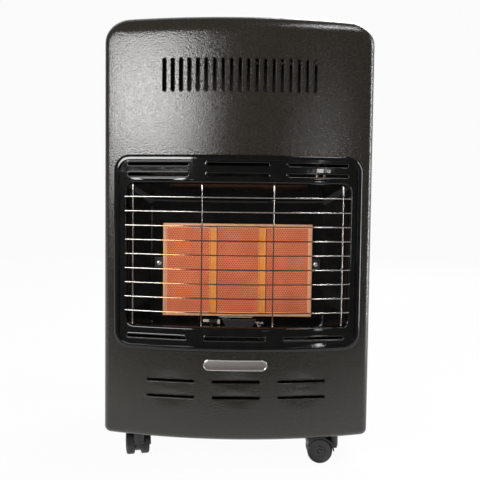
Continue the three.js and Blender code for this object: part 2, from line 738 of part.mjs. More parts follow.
function burnerHousing() {
  const { halfWidth, foot, top, front, back, sheet, lip } = BURNER;
  const innerHalf = halfWidth - sheet;
  const shell = box(-halfWidth, halfWidth, front, back, foot, top)
    .subtract(box(-innerHalf, innerHalf, front + sheet, back - sheet, foot + sheet, top - sheet));
  const face = box(-halfWidth + lip, halfWidth - lip, front - 1, front + sheet + 1, foot + lip, top - lip);
  const ears = [-1, 1].map((side) => {
    const [a, b] = [side * (halfWidth - 0.5), side * EAR.reach].sort((p, q) => p - q);
    const earFront = BACK_PLATE.y - SEAT - sheet;
    return box(a, b, earFront, earFront + sheet, EAR.z - EAR.halfHeight, EAR.z + EAR.halfHeight);
  });
  const throats = VENTURI.columns.map((x) => rod('z', x, VENTURI.y, VENTURI.outer,
    VENTURI.foot, foot + 0.5, 14));
  const holes = [
    ...VENTURI.columns.map((x) => rod('z', x, VENTURI.y, VENTURI.bore, VENTURI.foot - 1, foot + 2, 14)),
    ...[-1, 1].map((side) => rod('y', side * EAR.screwX, EAR.z, EAR.hole, front, back, 8)),
  ];
  return cut(union([shell.subtract(face), ...ears, ...throats]), holes);
}

// One of three perforated ceramic tiles, side by side behind the housing's lip.
const TILE_COUNT = 3;
const TILE_THICKNESS = 12;
const TILE_FACE = BURNER.front + BURNER.sheet + SEAT;
const TILE_WIDTH = (2 * (BURNER.halfWidth - BURNER.sheet) - (TILE_COUNT + 1) * SEAT) / TILE_COUNT;

function plaque(index) {
  const inset = BURNER.sheet + SEAT;
  const x0 = -BURNER.halfWidth + inset + index * (TILE_WIDTH + SEAT);
  const z0 = BURNER.foot + inset;
  const z1 = BURNER.top - inset;
  const y1 = TILE_FACE + TILE_THICKNESS;
  return box(x0, x0 + TILE_WIDTH, TILE_FACE, y1, z0, z1);
}

// Channel strip clipped over the joint between two tiles.
const STRIP = { halfWidth: 6, edge: 1.4, slope: 1, height: 1.4, dip: 0.6 };

function jointStrip(side) {
  const { halfWidth, edge, slope, height, dip } = STRIP;
  const root = TILE_FACE - SEAT;
  const crest = root - height;
  const half = [[halfWidth, root], [halfWidth, crest], [halfWidth - edge, crest],
    [halfWidth - edge - slope, crest + dip]];
  const mirrored = half.map(([x, y]) => [-x, y]).reverse();
  const middle = side * 0.5 * (TILE_WIDTH + SEAT);
  const outline = [...half, ...mirrored].map(([x, y]) => [x + middle, y]);
  const gap = BURNER.lip + SEAT;
  return prism('z', outline, BURNER.foot + gap, BURNER.top - gap);
}

// Pan-head screw through the burner's ear; built head up, then turned to face front.
const SCREW = { head: 4.2, headHeight: 2.2, shank: 2, length: 9 };

function burnerScrew(side) {
  const { head, headHeight, shank, length } = SCREW;
  const seatY = BACK_PLATE.y - 2 * SEAT - BURNER.sheet;
  return turned([
    [0, -length], [shank, -length], [shank, 0], [head, 0], [head, 0.5 * headHeight],
    [0.75 * head, 0.9 * headHeight], [0, headHeight],
  ], 12).rotate([90, 0, 0]).translate([side * EAR.screwX, seatY, EAR.z]);
}

// Pilot group on its shelf below the plaques.
const SHELF = {
  halfWidth: 62, front: BURNER_FACE - 14, z: OPENING.foot - 7, sheet: 1, top: OPENING.foot + 7,
};

function pilotBracket() {
  const back = BACK_PLATE.y - SEAT;
  const foot = SHELF.z;
  const shelf = box(-SHELF.halfWidth, SHELF.halfWidth, SHELF.front, back, foot, foot + SHELF.sheet);
  const riser = box(-SHELF.halfWidth, SHELF.halfWidth, back - SHELF.sheet, back, foot, SHELF.top);
  return shelf.add(riser).subtract(rod('z', PILOT.x, PILOT.y, PILOT.hole, foot - 1, foot + 2, 8));
}

const SHELF_TOP = SHELF.z + SHELF.sheet + SEAT;

function pilotBurner() {
  const { x, y, z, post, head, left, right, bore } = PILOT;
  const stand = rod('z', x, y, post, SHELF_TOP, z, 10);
  const barrel = rod('x', y, z, head, x - left, x + right, 10);
  return stand.add(barrel).subtract(rod('x', y, z, bore, x + right - 4, x + right + 1, 8));
}

const ELECTRODE = {
  x: -12, offset: 2, collar: 3.2, neck: 2.3, top: OPENING.foot + 4, rise: 4.5, reach: 11, wire: 0.7,
};

function ignitionElectrode() {
  const { x, offset, collar, neck, top, rise, reach, wire } = ELECTRODE;
  const y = PILOT.y + offset;
  const insulator = turned([
    [0, SHELF_TOP], [collar, SHELF_TOP], [collar, SHELF_TOP + 2.5], [neck, SHELF_TOP + 3.5],
    [neck, top], [0, top],
  ], 10).translate([x, y, 0]);
  const bent = bends([[x, y, top - 1], [x, y, top + rise], [x - reach, PILOT.y, top + 1]], 2, 2);
  const tip = tube(bent, wire, 5);
  return insulator.add(tip);
}

const PROBE = {
  x0: 14, x1: 43, z: OPENING.foot - 0.5, radius: 2.6, clampX0: 33, clampX1: 39, clampHalf: 2.4,
};

function thermocoupleProbe() {
  const { x0, x1, z, radius, clampX0, clampX1, clampHalf } = PROBE;
  const sheath = rod('x', PILOT.y, z, radius, x0, x1, 10);
  const clamp = box(clampX0, clampX1, PILOT.y - clampHalf, PILOT.y + clampHalf, SHELF_TOP, z);
  return sheath.add(clamp);
}

// Pale board before the electrode and the probe, wider at the top.
const PILOT_SHIELD = {
  x0: -18, x1: 25, flare: 6, top: OPENING.foot + 6, front: BURNER_FACE - 11.5, sheet: 1.5,
};

function pilotShield() {
  const { x0, x1, flare, top, front, sheet } = PILOT_SHIELD;
  return prism('y', [[x0, SHELF_TOP], [x1, SHELF_TOP], [x1 + flare, top], [x0 - flare, top]],
    front, front + sheet);
}

// Gas rail with three injectors under the venturi throats.
const RAIL = {
  x0: 27.5 - BURNER.halfWidth, x1: BURNER.halfWidth - 7.5, half: 6, z: OPENING.foot - 31,
  injector: 3.5, pipe: 3, lugs: [-40, 40], lugHalf: 7,
};

function gasRail() {
  const { x0, x1, half, z, injector, lugHalf } = RAIL;
  const { y } = VENTURI;
  const lugs = RAIL.lugs.map((x) => (
    box(x - lugHalf, x + lugHalf, y + half - 0.5, SHIELD.y - SEAT, z - 4, z + 4)
  ));
  const nozzles = VENTURI.columns.map((x) => (
    rod('z', x, y, injector, z + half - 0.5, VENTURI.foot - SEAT, 6)
  ));
  return union([box(x0, x1, y - half, y + half, z - half, z + half), ...lugs, ...nozzles]);
}

// ---------------------------------------------------------------- controls

// Heights are taken from the floor of the control tray.
const PLATE = TRAY.floor - TRAY.wall - SEAT;
const KNOB = {
  x: TRAY.x1 - 52, y: (TRAY.y0 + TRAY.y1) / 2, foot: TRAY.floor + 5.5, top: HEIGHT - 1.5,
  skirt: 21, grip: 17, socket: 4.3,
};
const SPINDLE = { radius: 4, foot: PLATE - 17.7, top: PLATE + 18.9, bore: 4.4, boreFoot: PLATE - 22.7 };
const VALVE = { halfX: 18, halfY: 19, foot: PLATE - 39.7, shoulder: PLATE - 9.7, top: PLATE, boss: 12 };
const BUTTON = {
  x: TRAY.x0 + 34, y: KNOB.y, radius: 9, stem: 3,
  top: PLATE + 15.3, foot: PLATE - 7.7, stemFoot: PLATE - 23.7,
};
const IGNITER = {
  outer: 12, well: 9.6, bore: 3.5,
  top: PLATE, wellFoot: PLATE - 14.2, boreFoot: PLATE - 30.7, foot: PLATE - 37.7,
};

function controlTray() {
  const { x0, x1, y0, y1, floor, wall, rim, rimSheet } = TRAY;
  const section = (grow, from, to) => prism('z', roundedRect(
    x0 - grow, x1 + grow, y0 - grow, y1 + grow, 4 + grow, 4 + grow, 3,
  ), from, to);
  const well = section(wall, floor - wall, HEIGHT)
    .add(section(wall + rim, HEIGHT - rimSheet, HEIGHT))
    .subtract(section(0, floor, HEIGHT + 1));
  return cut(well, [
    rod('z', KNOB.x, KNOB.y, SPINDLE.radius + 0.6, floor - 5, floor + 1, 12),
    rod('z', BUTTON.x, BUTTON.y, BUTTON.radius + 0.5, floor - 5, floor + 1, 20),
  ]);
}

function gasValve() {
  const { x, y } = KNOB;
  const { halfX, halfY, foot, shoulder, top, boss } = VALVE;
  const body = box(x - halfX, x + halfX, y - halfY, y + halfY, foot, shoulder);
  return body.add(rod('z', x, y, boss, shoulder - 0.5, top, 16))
    .subtract(rod('z', x, y, SPINDLE.bore, SPINDLE.boreFoot, top + 1, 12));
}

function valveSpindle() {
  return rod('z', KNOB.x, KNOB.y, SPINDLE.radius, SPINDLE.foot, SPINDLE.top, 12);
}

// Fluted dial with a pointer ridge across its top.
function controlKnob() {
  const flutes = Array.from({ length: 28 }, (_, i) => {
    const angle = (2 * Math.PI * i) / 28;
    const radius = i % 2 ? KNOB.grip : KNOB.grip - 1.3;
    return [KNOB.x + radius * Math.cos(angle), KNOB.y + radius * Math.sin(angle)];
  });
  const skirt = rod('z', KNOB.x, KNOB.y, KNOB.skirt, KNOB.foot, KNOB.foot + 3, 28);
  const grip = prism('z', flutes, KNOB.foot + 2, KNOB.top - 1.5);
  const pointer = box(KNOB.x - 1.6, KNOB.x + 1.6, KNOB.y - 3, KNOB.y + KNOB.grip - 3,
    KNOB.top - 2, KNOB.top);
  const socket = rod('z', KNOB.x, KNOB.y, KNOB.socket, KNOB.foot - 1, SPINDLE.top + SEAT, 12);
  return union([skirt, grip, pointer]).subtract(socket);
}

function igniterBody() {
  const { outer, foot, top, well, wellFoot, bore, boreFoot } = IGNITER;
  return turned([
    [0, foot], [outer - 3, foot], [outer, foot + 6], [outer, top], [well, top], [well, wellFoot],
    [bore, wellFoot], [bore, boreFoot], [0, boreFoot],
  ], 16).translate([BUTTON.x, BUTTON.y, 0]);
}

function igniterButton() {
  const { radius, top, foot, stem, stemFoot } = BUTTON;
  return turned([
    [0, stemFoot], [stem, stemFoot], [stem, foot], [radius, foot], [radius, top - 1.5],
    [radius - 1.5, top], [0, top - 0.8],
  ], 16).translate([BUTTON.x, BUTTON.y, 0]);
}

// Barbed tail that takes the hose from the bottle's regulator.
function hoseNozzle() {
  const rib = (z) => [[4.6, z], [5.6, z + 0.6], [4.6, z + 5]];
  return turned([
    [0, 0], [8, 0], [8, 7], [4.6, 8], ...rib(10), ...rib(16), ...rib(22), [4.2, 30], [2.5, 30],
    [2.5, 3], [0, 3],
  ], 10).rotate([-90, 0, 0]).translate([KNOB.x, KNOB.y + VALVE.halfY + SEAT, VALVE.foot + 11]);
}

function burnerPipe() {
  const start = KNOB.y - VALVE.halfY - SEAT;
  const x = KNOB.x - 2;
  const z = VALVE.foot + 14;
  return tube(bends([
    [x, start, z], [x, VENTURI.y, z], [x, VENTURI.y, RAIL.z],
    [RAIL.x1 + SEAT, VENTURI.y, RAIL.z],
  ], 12, 4), RAIL.pipe, 8);
}

function pilotPipe() {
  const start = KNOB.y - VALVE.halfY - SEAT;
  const x = KNOB.x + 9;
  const y = BURNER_FACE + 11;
  const z = VALVE.foot + 22;
  const run = RAIL.z + 10;
  return tube(bends([
    [x, start, z], [x, y, z], [x, y, run], [PILOT.x, PILOT.y, run],
    [PILOT.x, PILOT.y, SHELF_TOP - SEAT],
  ], 8, 4), PILOT.pipe, 6);
}

// ---------------------------------------------------------------- casters

const WHEEL = { radius: 20, inner: 5.6, outer: 18, hub: 7, bore: 3.3 };
const HOOD = {
  trail: 22, radius: 23, inside: 20.9, half: 19.5, web: 4, boss: 8.6, bossTop: 47.7, webRadius: 15,
};
const AXLE = { radius: 3, half: 19 };
const STEM = { radius: 4.2, top: 76 };

// Twin-wheel hood and stem; swivel axis at the origin, axle behind it along +X.
function casterHood() {
  const { trail, radius, inside, half, web, boss, bossTop, webRadius } = HOOD;
  const z = WHEEL.radius;
  const shell = rod('y', trail, z, radius, -half, half, 20)
    .subtract(rod('y', trail, z, inside, -half - 1, half + 1, 20))
    .subtract(box(trail - 30, trail + 30, -half - 1, half + 1, -20, z + 1))
    .subtract(box(trail + 8, trail + 30, -half - 1, half + 1, -20, z + 9));
  const core = rod('y', trail, z, webRadius, -web, web, 12);
  const bridge = box(-boss + 2, trail, -web, web, z + 1, z + 13);
  const crown = box(trail - 6, trail + 6, -web, web, z, z + radius - 1);
  const post = rod('z', 0, 0, boss, z + 4, bossTop, 14);
  const stem = rod('z', 0, 0, STEM.radius, bossTop - 1, STEM.top, 10);
  const wheelSpace = [-1, 1].map((side) => {
    const [a, b] = [side * (web + 0.8), side * (half + 1)].sort((p, q) => p - q);
    return rod('y', trail, z, inside, a, b, 20);
  });
  return cut(union([shell, core, bridge, crown, post, stem]), [
    ...wheelSpace, rod('y', trail, z, AXLE.radius + SEAT, -half, half, 10),
  ]);
}

function casterAxle() {
  return rod('y', HOOD.trail, WHEEL.radius, AXLE.radius, -AXLE.half + 2, AXLE.half - 2, 10);
}

// Wheel with a rounded tread and a dished outer face, turned about its own axle.
function casterWheel(side) {
  const { radius, inner, outer, hub, bore } = WHEEL;
  return turned([
    [bore, inner], [radius - 1.5, inner], [radius, inner + 2], [radius, outer - 2.5],
    [radius - 2.5, outer], [hub, outer - 1.8], [bore, outer - 1.8], [bore, inner],
  ], 16).rotate([side * 90, 0, 0]).translate([HOOD.trail, 0, WHEEL.radius]);
}

// ---------------------------------------------------------------- materials and nodes

const FINISH = {
  paint: { color: 0x3b3a35, roughness: 0.5, metalness: 0.45 },
  plainPaint: { color: 0x2b2b29, roughness: 0.55, metalness: 0.3 },
  enamel: { color: 0x0b0b0c, roughness: 0.12, metalness: 0.1 },
  chrome: { color: 0xd8d8d6, roughness: 0.15, metalness: 1 },
  satin: { color: 0xb9bbb8, roughness: 0.3, metalness: 1 },
  galvanised: { color: 0x9a9d9c, roughness: 0.45, metalness: 0.9 },
  heatSteel: { color: 0xc98a55, roughness: 0.5, metalness: 0.6 },
  ceramic: { color: 0xc2683f, roughness: 0.85, metalness: 0 },
  gold: { color: 0xd08a3c, roughness: 0.5, metalness: 0.3 },
  mica: { color: 0xcdbb93, roughness: 0.7, metalness: 0 },
  brass: { color: 0xb08d4a, roughness: 0.35, metalness: 1 },
  castAlloy: { color: 0x8c8f92, roughness: 0.5, metalness: 0.8 },
  copper: { color: 0xb0714a, roughness: 0.35, metalness: 1 },
  porcelain: { color: 0xe9e6de, roughness: 0.3, metalness: 0 },
  blackPlastic: { color: 0x141415, roughness: 0.4, metalness: 0 },
  redPlastic: { color: 0x8e1d18, roughness: 0.35, metalness: 0 },
};

const heater = new THREE.Group();
heater.name = 'gas_cabinet_heater';

function addPart(name, solid, finish, parent = heater) {
  const mesh = new THREE.Mesh(toGeometry(solid), new THREE.MeshStandardMaterial(FINISH[finish]));
  mesh.name = name;
  parent.add(mesh);
  return mesh;
}

addPart('front_panel', frontPanel(), 'paint');
addPart('cabinet_wrap', cabinetWrap(), 'paint');
addPart('base_tray', baseTray(), 'plainPaint');
addPart('upper_rear_panel', upperRearPanel(), 'plainPaint');
addPart('heat_shield', heatShield(), 'galvanised');
addPart('firing_frame', bezelFrame(), 'enamel');
addPart('wire_guard', wireGuard(), 'chrome');
addPart('burner_chamber', burnerChamber(), 'enamel');
addPart('burner_housing', burnerHousing(), 'heatSteel');
addPart('badge_plate', badgePlate(), 'chrome');
addPart('badge_field', badgeField(), 'enamel');

['left', 'middle', 'right'].forEach((place, index) => {
  addPart(`plaque_${place}`, plaque(index), 'ceramic');
});
[['left', -1], ['right', 1]].forEach(([place, side]) => {
  addPart(`joint_strip_${place}`, jointStrip(side), 'gold');
  addPart(`burner_screw_${place}`, burnerScrew(side), 'satin');
  addPart(`cover_hook_${place}`, coverHook(side), 'galvanised');
  addPart(`side_grip_${place}`, sideGrip(side), 'blackPlastic');
});

addPart('pilot_bracket', pilotBracket(), 'galvanised');
addPart('pilot_burner', pilotBurner(), 'satin');
addPart('ignition_electrode', ignitionElectrode(), 'porcelain');
addPart('thermocouple_probe', thermocoupleProbe(), 'satin');
addPart('pilot_shield', pilotShield(), 'mica');
addPart('gas_rail', gasRail(), 'galvanised');
addPart('burner_pipe', burnerPipe(), 'copper');
addPart('pilot_pipe', pilotPipe(), 'copper');

addPart('rear_cover', rearCover(), 'plainPaint');
addPart('control_tray', controlTray(), 'blackPlastic');
addPart('gas_valve', gasValve(), 'castAlloy');
addPart('valve_spindle', valveSpindle(), 'brass');
addPart('control_knob', controlKnob(), 'blackPlastic');
addPart('igniter_body', igniterBody(), 'blackPlastic');
addPart('igniter_button', igniterButton(), 'redPlastic');
addPart('hose_nozzle', hoseNozzle(), 'brass');

const hood = casterHood();
const axle = casterAxle();
const wheels = { a: casterWheel(1), b: casterWheel(-1) };
Object.entries(CASTERS).forEach(([place, [x, y, trailAngle]]) => {
  const socket = addPart(`caster_socket_${place}`, casterSocket(), 'blackPlastic');
  socket.position.set(x, y, 0);
  const caster = new THREE.Group();
  caster.name = `caster_${place}`;
  caster.position.set(x, y, 0);
  caster.rotation.z = THREE.MathUtils.degToRad(trailAngle);
  heater.add(caster);
  addPart(`caster_hood_${place}`, hood, 'blackPlastic', caster);
  addPart(`caster_axle_${place}`, axle, 'satin', caster);
  addPart(`caster_wheel_a_${place}`, wheels.a, 'blackPlastic', caster);
  addPart(`caster_wheel_b_${place}`, wheels.b, 'blackPlastic', caster);
});

export default heater;
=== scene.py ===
# Portable gas cabinet heater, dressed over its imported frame. Metres, front towards -Y.
import math

import bmesh
import bpy
from mathutils import Matrix, Vector
from mathutils.geometry import delaunay_2d_cdt


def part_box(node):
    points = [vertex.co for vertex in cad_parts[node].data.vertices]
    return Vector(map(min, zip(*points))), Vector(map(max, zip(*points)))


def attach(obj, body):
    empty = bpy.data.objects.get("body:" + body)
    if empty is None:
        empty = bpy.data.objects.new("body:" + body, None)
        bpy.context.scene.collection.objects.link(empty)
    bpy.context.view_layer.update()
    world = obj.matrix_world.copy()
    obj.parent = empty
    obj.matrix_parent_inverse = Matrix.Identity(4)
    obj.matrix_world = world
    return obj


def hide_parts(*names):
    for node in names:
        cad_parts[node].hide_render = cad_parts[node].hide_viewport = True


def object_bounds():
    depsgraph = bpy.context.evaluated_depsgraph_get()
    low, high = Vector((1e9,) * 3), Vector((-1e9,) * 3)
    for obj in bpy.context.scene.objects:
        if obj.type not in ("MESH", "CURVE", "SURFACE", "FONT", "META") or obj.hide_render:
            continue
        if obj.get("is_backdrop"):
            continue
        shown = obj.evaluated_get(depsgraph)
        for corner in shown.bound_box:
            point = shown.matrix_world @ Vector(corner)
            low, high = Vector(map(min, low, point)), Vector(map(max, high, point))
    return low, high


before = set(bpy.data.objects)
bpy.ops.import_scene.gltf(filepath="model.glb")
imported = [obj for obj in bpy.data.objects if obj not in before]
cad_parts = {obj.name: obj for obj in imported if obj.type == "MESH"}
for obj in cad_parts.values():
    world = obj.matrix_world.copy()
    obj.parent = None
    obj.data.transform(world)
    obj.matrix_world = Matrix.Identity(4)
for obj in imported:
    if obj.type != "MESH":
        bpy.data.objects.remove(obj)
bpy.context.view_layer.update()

# ------------------------
# Camera: straight on to the front, a little above the middle of the window,
# with the slight clockwise turn and downward tilt of the hand that held it.
CAMERA_PLACE = (0.0036, -1.2905, 0.4204)
CAMERA_TILT = 3.25
CAMERA_ROLL = 0.685
CAMERA_LENS = 53.3

camera_data = bpy.data.cameras.new("front_camera")
camera_data.lens = CAMERA_LENS
camera_data.sensor_width = 36
camera = bpy.data.objects.new("front_camera", camera_data)
bpy.context.collection.objects.link(camera)
tilt = Matrix.Rotation(math.radians(90 - CAMERA_TILT), 4, "X")
roll = Matrix.Rotation(math.radians(CAMERA_ROLL), 4, "Z")
camera.matrix_world = Matrix.Translation(CAMERA_PLACE) @ (tilt @ roll)
bpy.context.scene.camera = camera


# ------------------------
# Room: a seamless white sweep, a wide soft lamp at the left front, a tall strip and
# a slit at the right, a small lamp above and a wide one behind for the rear views.
def smoothed(mesh):
    mesh.polygons.foreach_set("use_smooth", [True] * len(mesh.polygons))
    return mesh


def grid_mesh(name, rows, closed=False):
    """Skin over rows of points of equal length. Closed, each row is a ring."""
    mesh = bpy.data.meshes.new(name)
    wide = len(rows[0])
    faces = []
    for r in range(len(rows) - 1):
        for i in range(wide if closed else wide - 1):
            j = (i + 1) % wide
            faces.append((r * wide + i, r * wide + j, (r + 1) * wide + j, (r + 1) * wide + i))
    mesh.from_pydata([point for row in rows for point in row], [], faces)
    return smoothed(mesh)


def put(name, mesh, material=None):
    """Object of a mesh, linked into the scene."""
    piece = bpy.data.objects.new(name, mesh)
    bpy.context.collection.objects.link(piece)
    if material:
        mesh.materials.clear()
        mesh.materials.append(material)
    return piece


class Tree:
    """A node tree, written as short calls."""

    def node(self, kind, settings=None, **values):
        """A node: its settings first, then values or links of its sockets, by name or number."""
        made = self.tree.nodes.new(kind if "Node" in kind else self.family + kind)
        for key, value in (settings or {}).items():
            setattr(made, key, value)
        for key, value in values.items():
            self.feed(made.inputs[int(key[1:]) if key[0] == "_" else key.replace("_", " ")], value)
        return made

    def feed(self, socket, value):
        """Links a socket to a node, a socket or a list of them, or sets its value."""
        for one in value if isinstance(value, list) else [value]:
            if isinstance(one, bpy.types.Node):
                one = one.outputs[0]
            elif isinstance(one, Value):
                one = one.socket
            if isinstance(one, bpy.types.NodeSocket):
                self.tree.links.new(one, socket)
            else:
                socket.default_value = (*one, 1) if socket.type == "RGBA" else one


class Shade(Tree):
    """A material's nodes."""
    family = "ShaderNode"

    def __init__(self, name):
        self.material = bpy.data.materials.new(name)
        self.material.use_nodes = True
        self.tree = self.material.node_tree
        self.tree.nodes.clear()
        self.out = self.node("OutputMaterial")

    def place(self):
        """Object coordinates: the piece's own metres."""
        return self.node("TexCoord").outputs["Object"]

    def axes(self):
        split = self.node("SeparateXYZ", Vector=self.place())
        return [Value(self, socket) for socket in split.outputs]

    def noise(self, scale, detail, rough):
        made = self.node("TexNoise", Vector=self.place(), Scale=scale, Detail=detail, Roughness=rough)
        return Value(self, made.outputs[0])

    def mix(self, factor, a, b):
        return self.node("Mix", {"data_type": "RGBA"}, _0=factor, _6=a, _7=b).outputs[2]

    def bump(self, height, strength, distance):
        return self.node("Bump", Strength=strength, Distance=distance, Height=height)

    def surface(self, **values):
        self.feed(self.out.inputs[0], self.node("BsdfPrincipled", **values))
        return self.material


class Value:
    """A number that runs through the node tree, with Python's own operators."""

    def __init__(self, shade, socket):
        self.shade, self.socket = shade, socket

    def math(self, operation, other=0.5):
        made = self.shade.node("Math", {"operation": operation}, _0=self, _1=other)
        return Value(self.shade, made.outputs[0])

    def __add__(self, other): return self.math("ADD", other)
    def __sub__(self, other): return self.math("SUBTRACT", other)
    def __mul__(self, other): return self.math("MULTIPLY", other)
    def __rsub__(self, other): return (self * -1.0).math("ADD", other)
    __radd__ = __add__
    __rmul__ = __mul__

    def ramp(self, low, high, from_value=0.0, to_value=1.0):
        """Runs from one value to another while this one goes from low to high."""
        made = self.shade.node(
            "MapRange", {"interpolation_type": "SMOOTHSTEP"}, Value=self, From_Min=low, From_Max=high,
            To_Min=from_value, To_Max=to_value)
        return Value(self.shade, made.outputs[0])

    def spread(self, low, high):
        """Runs between two values over the middle of a noise."""
        return self.ramp(0.3, 0.7, low, high)

    def within(self, low, low_end, high, high_end):
        """1 between two soft limits and 0 outside them."""
        return self.ramp(low, low_end) * self.ramp(high, high_end, 1.0, 0.0)


SWEEP_FRONT, SWEEP_BEND, SWEEP_RADIUS = -0.62, 5.0, 1.5
SWEEP_HALF, SWEEP_HIGH, SWEEP_STEPS = 9.0, 9.0, 8
PAPER_WHITE = 0.955
sweep_rows = []
for x in (-SWEEP_HALF, SWEEP_HALF):
    row = [(x, SWEEP_FRONT, 0.0), (x, SWEEP_BEND, 0.0)]
    for step in range(1, SWEEP_STEPS + 1):
        lean = math.radians(90 * step / SWEEP_STEPS)
        row.append((x, SWEEP_BEND + SWEEP_RADIUS * math.sin(lean), SWEEP_RADIUS * (1 - math.cos(lean))))
    row.append((x, SWEEP_BEND + SWEEP_RADIUS, SWEEP_HIGH))
    sweep_rows.append(row)
shade = Shade("white_sweep")
rays = shade.node("LightPath")
camera_ray, glossy_ray, clear_ray = (Value(shade, rays.outputs["Is " + kind + " Ray"])
                                     for kind in ("Camera", "Glossy", "Transmission"))
seen = (camera_ray + glossy_ray + clear_ray).math("MINIMUM", 1.0)
lit = shade.node("BsdfDiffuse", Color=(0.86, 0.86, 0.86))
glow = shade.node("Emission", Color=(1.0, 1.0, 1.0), Strength=1.0)
shade.feed(shade.out.inputs[0], shade.node("MixShader", _0=seen * PAPER_WHITE, _1=lit, _2=glow))
sweep = put("white_sweep", grid_mesh("white_sweep", sweep_rows), shade.material)
sweep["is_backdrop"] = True

world = bpy.data.worlds.new("studio")
world.use_nodes = True
world.node_tree.nodes["Background"].inputs["Color"].default_value = (1, 1, 1, 1)
world.node_tree.nodes["Background"].inputs["Strength"].default_value = 0.12
bpy.context.scene.world = world


def soft_lamp(name, place, target, wide, tall, power):
    lamp_data = bpy.data.lights.new(name, "AREA")
    lamp_data.shape = "RECTANGLE"
    lamp_data.size, lamp_data.size_y = wide, tall
    lamp_data.energy = power
    lamp = bpy.data.objects.new(name, lamp_data)
    bpy.context.collection.objects.link(lamp)
    aim = (Vector(target) - Vector(place)).to_track_quat("-Z", "Y")
    lamp.matrix_world = Matrix.Translation(place) @ aim.to_matrix().to_4x4()


soft_lamp("left_lamp", (-0.95, -1.40, 0.785), (-0.13, -0.2, 0.6), 1.05, 0.42, 24)
soft_lamp("right_strip", (1.4, -0.05, 0.55), (0.15, -0.15, 0.4), 0.24, 1.3, 13)
soft_lamp("right_slit", (0.80, -1.40, 0.42), (0.13, -0.2, 0.4), 0.06, 0.42, 1.3)
soft_lamp("rear_fill", (1.1, 2.3, 2.5), (0, 0.2, 0.4), 1.6, 1.2, 75)
soft_lamp("top_lamp", (0.62, -0.5, 1.78), (0.14, -0.2, 0.69), 0.5, 0.14, 5)
bpy.context.scene.view_settings.view_transform = "Standard"

# ------------------------
# Front panel: one sheet of 1.2 mm steel, pressed to a shallow bow with a round
# nose along the top and rolled sides, punched with upright and level slots, and
# finished in a fine-grained dark powder coat.
MM = 0.001
PANEL_SHEET = 1.2
HALF_WIDTH, BOW_DEPTH = 210, 36
BOW_RADIUS = (HALF_WIDTH ** 2 + BOW_DEPTH ** 2) / (2 * BOW_DEPTH)
PANEL_FACE = -210.8
PANEL_SEAM = -140
PANEL_HALF, PANEL_FOOT, PANEL_TOP = 209.9, 46.5, 699.3
FOOT_CORNER, TOP_CORNER = 10, 38
ROLL_TOP, ROLL_SIDE, ROLL_FOOT, ROLL_STEPS = 28, 9, 12, 12
NOTCH_Y, NOTCH_TOP, NOTCH_HALF = -169.5, 47, 14
NOTCH_MIDDLES = (-161, 153)
VENT_LEFT, VENT_RIGHT, VENT_COUNT = -114, 115.7, 19
VENT_Z, VENT_WIDE, VENT_TALL = 608, 6, 51
LOW_SLOTS = [(x, z, 75.5, 5.6) for x in (-101.7, 0, 101.5) for z in (139.5, 114.6)]
WINDOW = (-184.5, 184.5, 197, 480, 16, 16)
PUNCHED_EDGE = ((0.6, 0), (0.28, 0.1), (0.06, 0.35), (0, 0.75), (0, PANEL_SHEET))


def bow(x):
    return BOW_RADIUS - math.sqrt(BOW_RADIUS ** 2 - x * x)


def pairs(loop):
    """Each point of a closed loop with the next one."""
    return zip(loop, loop[1:] + loop[:1])


def outward(loop):
    """Unit directions out of a closed loop, one at each point."""
    ways = []
    for (ax, az), (bx, bz) in zip(loop[-1:] + loop[:-1], loop[1:] + loop[:1]):
        run = math.hypot(bx - ax, bz - az)
        ways.append(((bz - az) / run, -(bx - ax) / run))
    return ways


def rounded(x0, x1, z0, z1, lower, upper, steps, gap=None):
    """Rounded rectangle, counter-clockwise, long edges divided about every gap."""
    centres = [(x0 + lower, z0 + lower, lower, 180), (x1 - lower, z0 + lower, lower, 270),
               (x1 - upper, z1 - upper, upper, 0), (x0 + upper, z1 - upper, upper, 90)]
    points = []
    for cx, cz, radius, start in centres:
        for i in range(steps + 1):
            angle = math.radians(start + 90 * i / steps)
            points.append((cx + radius * math.cos(angle), cz + radius * math.sin(angle)))
    if not gap:
        return points
    dense = []
    for (ax, az), (bx, bz) in pairs(points):
        parts = max(1, round(math.hypot(bx - ax, bz - az) / gap))
        dense += [(ax + (bx - ax) * k / parts, az + (bz - az) * k / parts) for k in range(parts)]
    return dense


def pill(cx, cz, length, height, grow, steps=28):
    """Slot with round ends, grown outwards."""
    a, b = length / 2 + grow, height / 2 + grow
    radius = min(a, b)
    ends = []
    for k in range(steps):
        angle = 2 * math.pi * (k + 0.5) / steps
        c, s = math.cos(angle), math.sin(angle)
        ends.append((
            cx + math.copysign(a - radius, c) + radius * c, cz + math.copysign(b - radius, s) + radius * s))
    return ends


def inside(point, loop):
    x, z = point
    hit = False
    for (ax, az), (bx, bz) in pairs(loop):
        if (az > z) != (bz > z) and x < ax + (z - az) * (bx - ax) / (bz - az):
            hit = not hit
    return hit


def extent(points):
    """Least x, greatest x, least z and greatest z of flat points."""
    across, up = zip(*points)
    return min(across), max(across), min(up), max(up)


